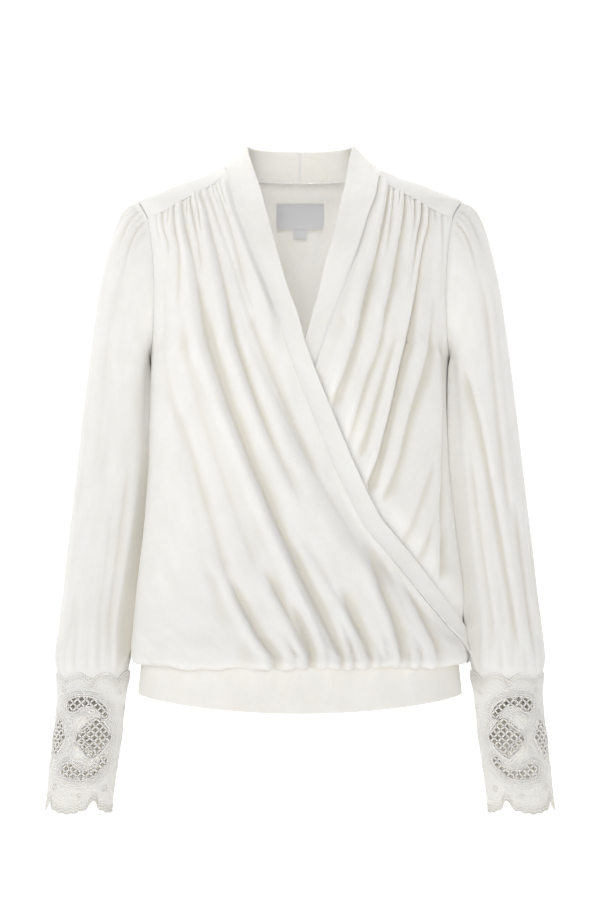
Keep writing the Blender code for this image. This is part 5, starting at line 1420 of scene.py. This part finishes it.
def laceBottom(across):
    # small scallops along wide lobes, with a round-topped notch between the lobes;
    # the back half mirrors the front one, so that the notches stand behind each other
    across = np.where(across > cuff["halfGirth"], 2 * cuff["halfGirth"] - across, across)
    away = (across - cuff["notchPlace"] + cuff["lobeStep"] / 2) % cuff["lobeStep"] - cuff["lobeStep"] / 2
    notch = np.exp(-(away / cuff["notchHalf"]) ** 4)
    small = cuff["smallDepth"] * (1 - np.abs(np.cos(np.pi * away / cuff["smallStep"])))
    lobe = cuff["lobeRise"] * (1 - np.sin(np.pi * np.abs(away) / cuff["lobeStep"]))
    return cuff["length"] - cuff["notchDepth"] * notch - small * (1 - notch) - lobe


def netWay(across, down):
    # distance out of the netted shape, minus inside: diamonds, and curved strokes with round heads
    girth = 2 * cuff["halfGirth"]
    across = (across + girth / 2) % girth - girth / 2
    away = np.full(np.broadcast(across, down).shape, 1e3)
    for middle, low, halfWidth, halfHeight in cuff["diamonds"]:
        scale = halfWidth * halfHeight / np.hypot(halfWidth, halfHeight)
        power = cuff["diamondRoundness"]
        size = (np.abs(across - middle) / halfWidth) ** power + (np.abs(down - low) / halfHeight) ** power
        away = np.minimum(away, (size ** (1 / power) - 1) * scale)
    for middle, low, radius, begin, end, startHalf, endHalf in cuff["arcs"]:
        angle = np.degrees(np.arctan2(down - low, across - middle))
        held = np.clip(angle, begin, end)
        share = (held - begin) / (end - begin)
        turn = np.radians(held)
        nearX, nearY = middle + radius * np.cos(turn), low + radius * np.sin(turn)
        half = mix(startHalf, endHalf, share) - cuff["arcWaist"] * np.sin(np.pi * share)
        away = np.minimum(away, np.hypot(across - nearX, down - nearY) - half)
    return away


def contourLines(field, across, down, value):
    # lines where the field has the value: crossings of the grid's edges, chained cell by cell
    above = field > value

    def crossing(i, j, vertical):
        k, m = (i + 1, j) if vertical else (i, j + 1)
        share = (value - field[i, j]) / (field[k, m] - field[i, j])
        return (mix(across[i, j], across[k, m], share), mix(down[i, j], down[k, m], share))

    mixed = above[:-1, :-1].astype(int) + above[1:, :-1] + above[:-1, 1:] + above[1:, 1:]
    links, spots = {}, {}
    for i, j in zip(*np.where((mixed > 0) & (mixed < 4))):
        corners = ((i, j), (i, j + 1), (i + 1, j + 1), (i + 1, j))
        sides = (((i, j, False), 0, 1), ((i, j + 1, True), 1, 2),
                 ((i + 1, j, False), 3, 2), ((i, j, True), 0, 3))
        ends = [side for side, first, second in sides if above[corners[first]] != above[corners[second]]]
        for side in ends:
            spots[side] = crossing(*side)
        for start, end in zip(ends[::2], ends[1::2]):
            links.setdefault(start, []).append(end)
            links.setdefault(end, []).append(start)
    lines, seen = [], set()
    for begin in links:
        chain, onward = [], [begin]
        while onward and onward[0] not in seen:
            chain.append(onward[0])
            seen.add(onward[0])
            onward = [side for side in links[onward[0]] if side not in seen]
        if len(chain) >= cuff["lineLeast"]:
            lines.append(np.array([spots[side] for side in chain + [begin]]))
    return lines


def evenSteps(line, step):
    # the line again, in points an even step apart
    way = wayAlong(line)
    count = max(int(round(way[-1] / step)), 4)
    where = np.linspace(0, way[-1], count, endpoint=False)
    return np.stack([np.interp(where, way, line[:, k]) for k in (0, 1)], axis=-1)


def circleTurn(sides):
    return np.arange(sides) * 2 * np.pi / sides


def cordRings(line, radius, rise, closed):
    # a thread along a line on the lace: a circle in the plane across the line, raised off the lace
    if closed:
        ahead = np.roll(line, -1, axis=0) - np.roll(line, 1, axis=0)
    else:
        ahead = np.gradient(line, axis=0)
    ahead = unit(ahead)
    sideways = np.stack([-ahead[:, 1], ahead[:, 0]], axis=-1)
    turn = circleTurn(cuff["cordSides"])
    flat = line[:, None] + sideways[:, None] * (radius * np.cos(turn))[None, :, None]
    lift = rise + radius * np.sin(turn)[None, :] + 0 * flat[..., 0]
    return flat[..., 0], flat[..., 1], lift


class Thread:
    # cords and knots gathered as whole arrays, in lace coordinates
    def __init__(self):
        self.places, self.quads, self.count = [], [], 0

    def add(self, across, down, lift, quads):
        self.places.append(np.stack([across.ravel(), down.ravel(), lift.ravel()]))
        self.quads.append(quads + self.count)
        self.count += across.size

    def addCord(self, line, size, closed):
        radius, rise, step = size
        across, down, lift = cordRings(evenSteps(line, step), radius, rise, closed)
        rows, sides = across.shape
        quads = gridQuads(rows, sides, True)
        first = np.arange(sides)
        last = first + (rows - 1) * sides
        if closed:
            join = np.stack([last, first, np.roll(first, -1), np.roll(last, -1)], axis=-1)
            quads = np.concatenate([quads, join])
        else:
            caps = [ring[list(fan)] for ring in (first[::-1], last) for fan in ((0, 1, 2, 3), (0, 3, 4, 5))]
            quads = np.concatenate([quads, caps])
        self.add(across, down, lift, quads)

    def addKnots(self, spots, radius, rise):
        # low domes, each a few rings that close over its top
        sides, rings = cuff["knotSides"], cuff["knotRings"]
        turn = circleTurn(sides)
        tilt = np.linspace(0, np.pi / 2, rings + 1)[None, :rings, None]
        across = spots[:, 0, None, None] + radius * np.cos(tilt) * np.cos(turn)
        down = spots[:, 1, None, None] + radius * np.cos(tilt) * np.sin(turn)
        lift = rise + radius * np.sin(tilt) + 0 * across
        foot = np.arange(sides)
        crown = foot + (rings - 1) * sides
        fans = ((0, 1, 2, 3), (0, 3, 4, 7), (4, 5, 6, 7))
        caps = [ring[list(fan)] for ring in (crown, foot[::-1]) for fan in fans]
        one = np.concatenate([gridQuads(rings, sides, True), caps])
        quads = (one[None] + np.arange(len(spots))[:, None, None] * rings * sides).reshape(-1, 4)
        self.add(across, down, lift, quads)


def netBars(look):
    # threads of a square net set on its corner, kept where they cross the netted shape
    lines = []
    middle = np.array(look["diamonds"][0][:2], float)
    reach = np.arange(-look["netReach"], look["netReach"], look["netStep"])[:, None]
    for sense in (1, -1):
        along = np.array([1.0, sense]) / np.sqrt(2)
        side = np.array([-sense, 1.0]) / np.sqrt(2)
        for place in np.arange(-look["netThreads"], look["netThreads"] + 1) + 0.5:
            spots = middle + side * place * look["netPitch"] + along * reach
            inside = netWay(spots[:, 0], spots[:, 1]) < look["barPast"]
            inside &= np.abs(spots[:, 0]) < look["halfGirth"]
            change = np.flatnonzero(np.diff(np.concatenate([[0], inside.astype(int), [0]])))
            lines += [spots[a:b] for a, b in zip(change[::2], change[1::2]) if b - a > look["barLeast"]]
    return lines


def circleOn(middle, low, size, turn):
    return np.stack([middle + size * np.cos(turn), low + size * np.sin(turn)], axis=-1)


def laceRelief(across, down, net, fromTop, fromBottom, look):
    # a ridge beside each net, domed scrolls, a dimpled ground and ribs along the scallops
    height, place, width = look["netRidge"]
    sinks, over = look["netSinks"]
    rise = height * bell(net - place, width) - sinks * ease(-net, 0, over)
    girth = 2 * look["halfGirth"]
    wrapped = (across + look["halfGirth"]) % girth - look["halfGirth"]
    for middle, low, radius in look["scrolls"]:
        share = np.hypot(wrapped - middle, down - low) / radius
        rise = rise + look["scrollRise"] * np.sqrt(np.clip(1 - share ** 2, 0, 1))
    height, often, *ways = look["groundRise"]
    rise = rise + height * np.sin(down * often) * np.sin(across * often) * ease(net, *ways)
    height, often, *ways = look["rimRise"]
    for way in (fromTop, fromBottom):
        rise = rise + height * np.sin(way * often) * fade(way, *ways)
    return rise


def laceThreads(look):
    # the net's bars, cords and knots round each opening, flowers, scrolls and rows along the rims
    thread, half = Thread(), look["halfGirth"]
    step = look["netStep"]
    fineX, fineY = np.meshgrid(np.arange(-half, half + 0.1, step), np.arange(*look["lineDowns"], step))
    fineWay = netWay(fineX, fineY)
    bars = netBars(look)
    borders, ribs, knotRows = (contourLines(fineWay, fineX, fineY, look[name])
                               for name in ("borderWay", "ribWay", "knotWay"))
    apart = look["netKnots"][2]
    for move in (np.array([0.0, 0.0]), np.array([2 * half, 0.0])):
        for lines, name in ((bars, "barCord"), (borders, "borderCord"), (ribs, "ribCord")):
            for line in lines:
                thread.addCord(line + move, look[name], lines is not bars)
        for line in knotRows:
            thread.addKnots(evenSteps(line, apart) + move, *look["netKnots"][:2])
        for middle, low, radius in look["flowers"]:
            petals = circleOn(middle, low, look["petalPlace"] * radius, circleTurn(look["petals"]))
            thread.addKnots(np.vstack([petals, (middle, low)]) + move, radius, look["flowerRise"])
        for middle, low, radius in look["scrolls"]:
            cord, below, step = look["scrollCord"]
            for inset in look["scrollInsets"]:
                size = radius - inset
                rise = look["scrollRise"] * np.sqrt(1 - (size / radius) ** 2) + below
                ring = circleOn(middle, low, size, np.linspace(0, 2 * np.pi, look["ringPoints"]))
                thread.addCord(ring + move, (cord, rise, step), True)
    fullRound = np.linspace(-half, 3 * half, look["rimPoints"])
    for inset, radius, apart in look["rimKnots"]:
        for edge, sense in ((laceTop, 1), (laceBottom, -1)):
            line = np.stack([fullRound, edge(fullRound) + sense * inset], axis=-1)
            thread.addKnots(evenSteps(line, apart), radius, look["rimKnotRise"])
    return np.concatenate(thread.places, axis=1), np.concatenate(thread.quads)


def makeCuff(hand, side, look):
    columns, rows = look["grid"]
    half = look["halfGirth"]
    step = 4 * half / columns
    across = (np.arange(columns) * step - half)[None, :]
    share = np.linspace(0, 1, rows)[:, None]
    down = mix(laceTop(across), laceBottom(across), share)
    across = across + 0 * down
    # pull the grid's points near an opening onto its edge, then leave out the cells inside;
    # the back half has a sunk ground there instead, so that no daylight shows through
    way, pull = netWay(across, down), look["netPull"] * step
    small = look["slopeStep"]
    slopeX = (netWay(across + small, down) - way) / small
    slopeY = (netWay(across, down + small) - way) / small
    size = slopeX ** 2 + slopeY ** 2 + 1e-9
    near = (np.abs(way) < pull) & (share > 0) & (share < 1)
    quads = gridQuads(rows, columns, True)
    solid = (way > -pull) | (across > half + look["backMargin"])
    quads = quads[np.all(solid.ravel()[quads], axis=1)]
    across, down = (np.where(near, place - way * slope / size, place)
                    for place, slope in ((across, slopeX), (down, slopeY)))
    net, fromTop, fromBottom = netWay(across, down), down - laceTop(across), laceBottom(across) - down
    rise = laceRelief(across, down, net, fromTop, fromBottom, look)
    outer, inner = (mirrored(cuffPoint(across, down, lift), side < 0).reshape(-1, 3)
                    for lift in (rise, -look["wall"] + 0 * rise))
    points, quads = wallBetween(outer, inner, quads)
    used = np.unique(quads)
    renumber = np.zeros(len(points), int)
    renumber[used] = np.arange(len(used))
    flat = np.stack([across + look["uvStart"], down], axis=-1).reshape(-1, 2)
    ways = {"edgeWay": net, "rimWay": np.minimum(fromTop, fromBottom)}
    ways = {key: np.concatenate([value.ravel()] * 2)[used] for key, value in ways.items()}
    ground = addPiece("cuff_%s_lace" % hand, points[used], renumber[quads], laceGround, ways,
                      np.concatenate([flat, flat])[used])
    (across, down, lift), threadQuads = laceThreads(look)
    points = mirrored(cuffPoint(across, down, lift), side < 0)
    cords = addPiece("cuff_%s_cords" % hand, points, threadQuads, laceThread,
                     uv=np.stack([across + look["uvStart"], down], axis=-1), sharp=80)
    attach(cords, "root")
    settle(ground, ["cuff_front_" + hand, "cuff_back_" + hand])
    print("cuff", hand, "ground", len(quads), "cords", len(threadQuads))


makeCuff("right", -1, cuff)
makeCuff("left", 1, cuff)
print("lace cuffs made")


label = {"width": 52.0, "levels": (30.0, 58.5), "inset": 0.9, "wall": 1.0, "bow": 0.25, "bowWidth": 0.4,
         "grid": (40, 24), "uvStart": 300}
sizeTab = {**label, "width": 16.0, "levels": (59.0, 69.0)}


def makeLabel(name, look):
    # a small rectangle inside the back, bowed a little at its middle
    half, (columns, rows) = look["width"] / 2, look["grid"]
    out, level = np.meshgrid(np.linspace(-half, half, columns), np.linspace(*look["levels"], rows))
    lift = -panelSizes["clothWall"] - look["inset"] + 0 * out
    wall = look["wall"] + look["bow"] * bell(out, look["width"] * look["bowWidth"])
    outer, inner = panelWalls(np.pi - angleAt(out, level), level, lift, wall)
    uv = np.stack([out + look["uvStart"], level], axis=-1)
    piece = addCloth(name + "_satin", outer, inner, labelSatin, uv)
    settle(piece, [name])


makeLabel("label", label)
makeLabel("size_tab", sizeTab)
print("label made")


studio = {
    "floorHeight": -1.38,    # where a wearer would stand
    "floorSize": 30.0,
    "floorColours": ((0.93, 0.93, 0.925), (0.95, 0.95, 0.945)),
    "floorGrain": 6.0, "floorRoughness": 0.9,
    "floorGlow": 0.9,
    "glowFrom": (1.5, 4.0),  # metres from the top
    "skyColour": (1.0, 0.998, 0.99, 1),
    "skyFront": 0.16,        # how bright the room is behind the camera
    "skyBack": 1.22,         # and behind the top
    "skyRange": (-0.6, 0.9),
    # place, what it aims at, size, energy, colour and spread in degrees of each lamp
    "keyLight": ((-2.5, -2.6, 2.2), (0, 0, -0.3), (1.3, 1.3), 15.0, (1.0, 0.985, 0.965), 180),
    "frontLight": ((-0.55, -4.4, 0.8), (0, 0, -0.3), (0.9, 0.9), 43.0, (1.0, 1.0, 1.0), 180),
    "topLight": ((-0.3, 0.7, 2.6), (0, 0, -0.1), (1.6, 1.6), 29.0, (1.0, 1.0, 1.0), 180),
    # a narrow one looks down through the neck opening at the label
    "neckLight": ((0, -1.1, 1.05), (0, 0.09, -0.05), (0.12, 0.06), 0.022, (1.0, 0.995, 0.98), 9),
    "cameraPlace": (0.0, -4.0, -0.3024),
    "sensor": 36.0,
    "viewHeight": 0.972,     # metres that the camera sees from top to bottom where the top stands
}


def makeFloor(look):
    size, height = look["floorSize"], look["floorHeight"]
    mesh = bpy.data.meshes.new("floor")
    corners = [(x, y, height) for x, y in ((-size, -size), (size, -size), (size, size), (-size, size))]
    mesh.from_pydata(corners, [], [(0, 1, 2, 3)])
    material, tree, shader = newMaterial("paleFloor")
    place = addNode(tree, "ShaderNodeTexCoord").outputs["Object"]
    grain = addNode(tree, "ShaderNodeTexNoise", Scale=look["floorGrain"], Detail=3.0)
    tree.links.new(place, grain.inputs["Vector"])
    colour = mixColour(tree, *look["floorColours"], grain.outputs["Fac"])
    tree.links.new(colour, shader.inputs["Base Color"])
    shader.inputs["Roughness"].default_value = look["floorRoughness"]
    # it glows only away from the top, so that little light comes up from below
    far = addNode(tree, "ShaderNodeVectorMath", operation="LENGTH")
    tree.links.new(place, far.inputs[0])
    glow = rangeOf(tree, far.outputs["Value"], *look["glowFrom"], 0.0, look["floorGlow"])
    tree.links.new(glow, shader.inputs["Emission Strength"])
    shader.inputs["Emission Color"].default_value = (1, 1, 1, 1)
    mesh.materials.append(material)
    floor = bpy.data.objects.new("floor", mesh)
    bpy.context.collection.objects.link(floor)


def makeSky(look):
    # a bright room, brighter behind the top than behind the camera
    world = bpy.data.worlds.new("studio")
    bpy.context.scene.world = world
    world.use_nodes = True
    tree = world.node_tree
    split = addNode(tree, "ShaderNodeSeparateXYZ")
    tree.links.new(addNode(tree, "ShaderNodeTexCoord").outputs["Generated"], split.inputs["Vector"])
    strength = rangeOf(tree, split.outputs["Y"], *look["skyRange"], look["skyFront"], look["skyBack"])
    background = tree.nodes["Background"]
    background.inputs["Color"].default_value = look["skyColour"]
    tree.links.new(strength, background.inputs["Strength"])


def addArea(name, place, aim, size, energy, colour, spread):
    light = bpy.data.lights.new(name, "AREA")
    light.shape = "RECTANGLE"
    light.size, light.size_y = size
    light.energy = energy
    light.color = colour
    light.spread = np.radians(spread)
    lamp = bpy.data.objects.new(name, light)
    bpy.context.collection.objects.link(lamp)
    lamp.location = place
    x, y, z = np.array(aim, float) - np.array(place, float)
    lamp.rotation_euler = (np.arctan2(np.hypot(x, y), -z), 0.0, np.arctan2(y, x) - np.pi / 2)


makeFloor(studio)
makeSky(studio)
for name in ("keyLight", "frontLight", "topLight", "neckLight"):
    addArea(name, *studio[name])

camera = bpy.data.cameras.new("camera")
camera.sensor_width = studio["sensor"]
camera.lens = studio["sensor"] * -studio["cameraPlace"][1] / studio["viewHeight"]
cameraObject = bpy.data.objects.new("camera", camera)
bpy.context.collection.objects.link(cameraObject)
cameraObject.location = studio["cameraPlace"]
cameraObject.rotation_euler = (np.pi / 2, 0.0, 0.0)
bpy.context.scene.camera = cameraObject
bpy.context.scene.view_settings.view_transform = "Standard"
print("floor, light and camera set")
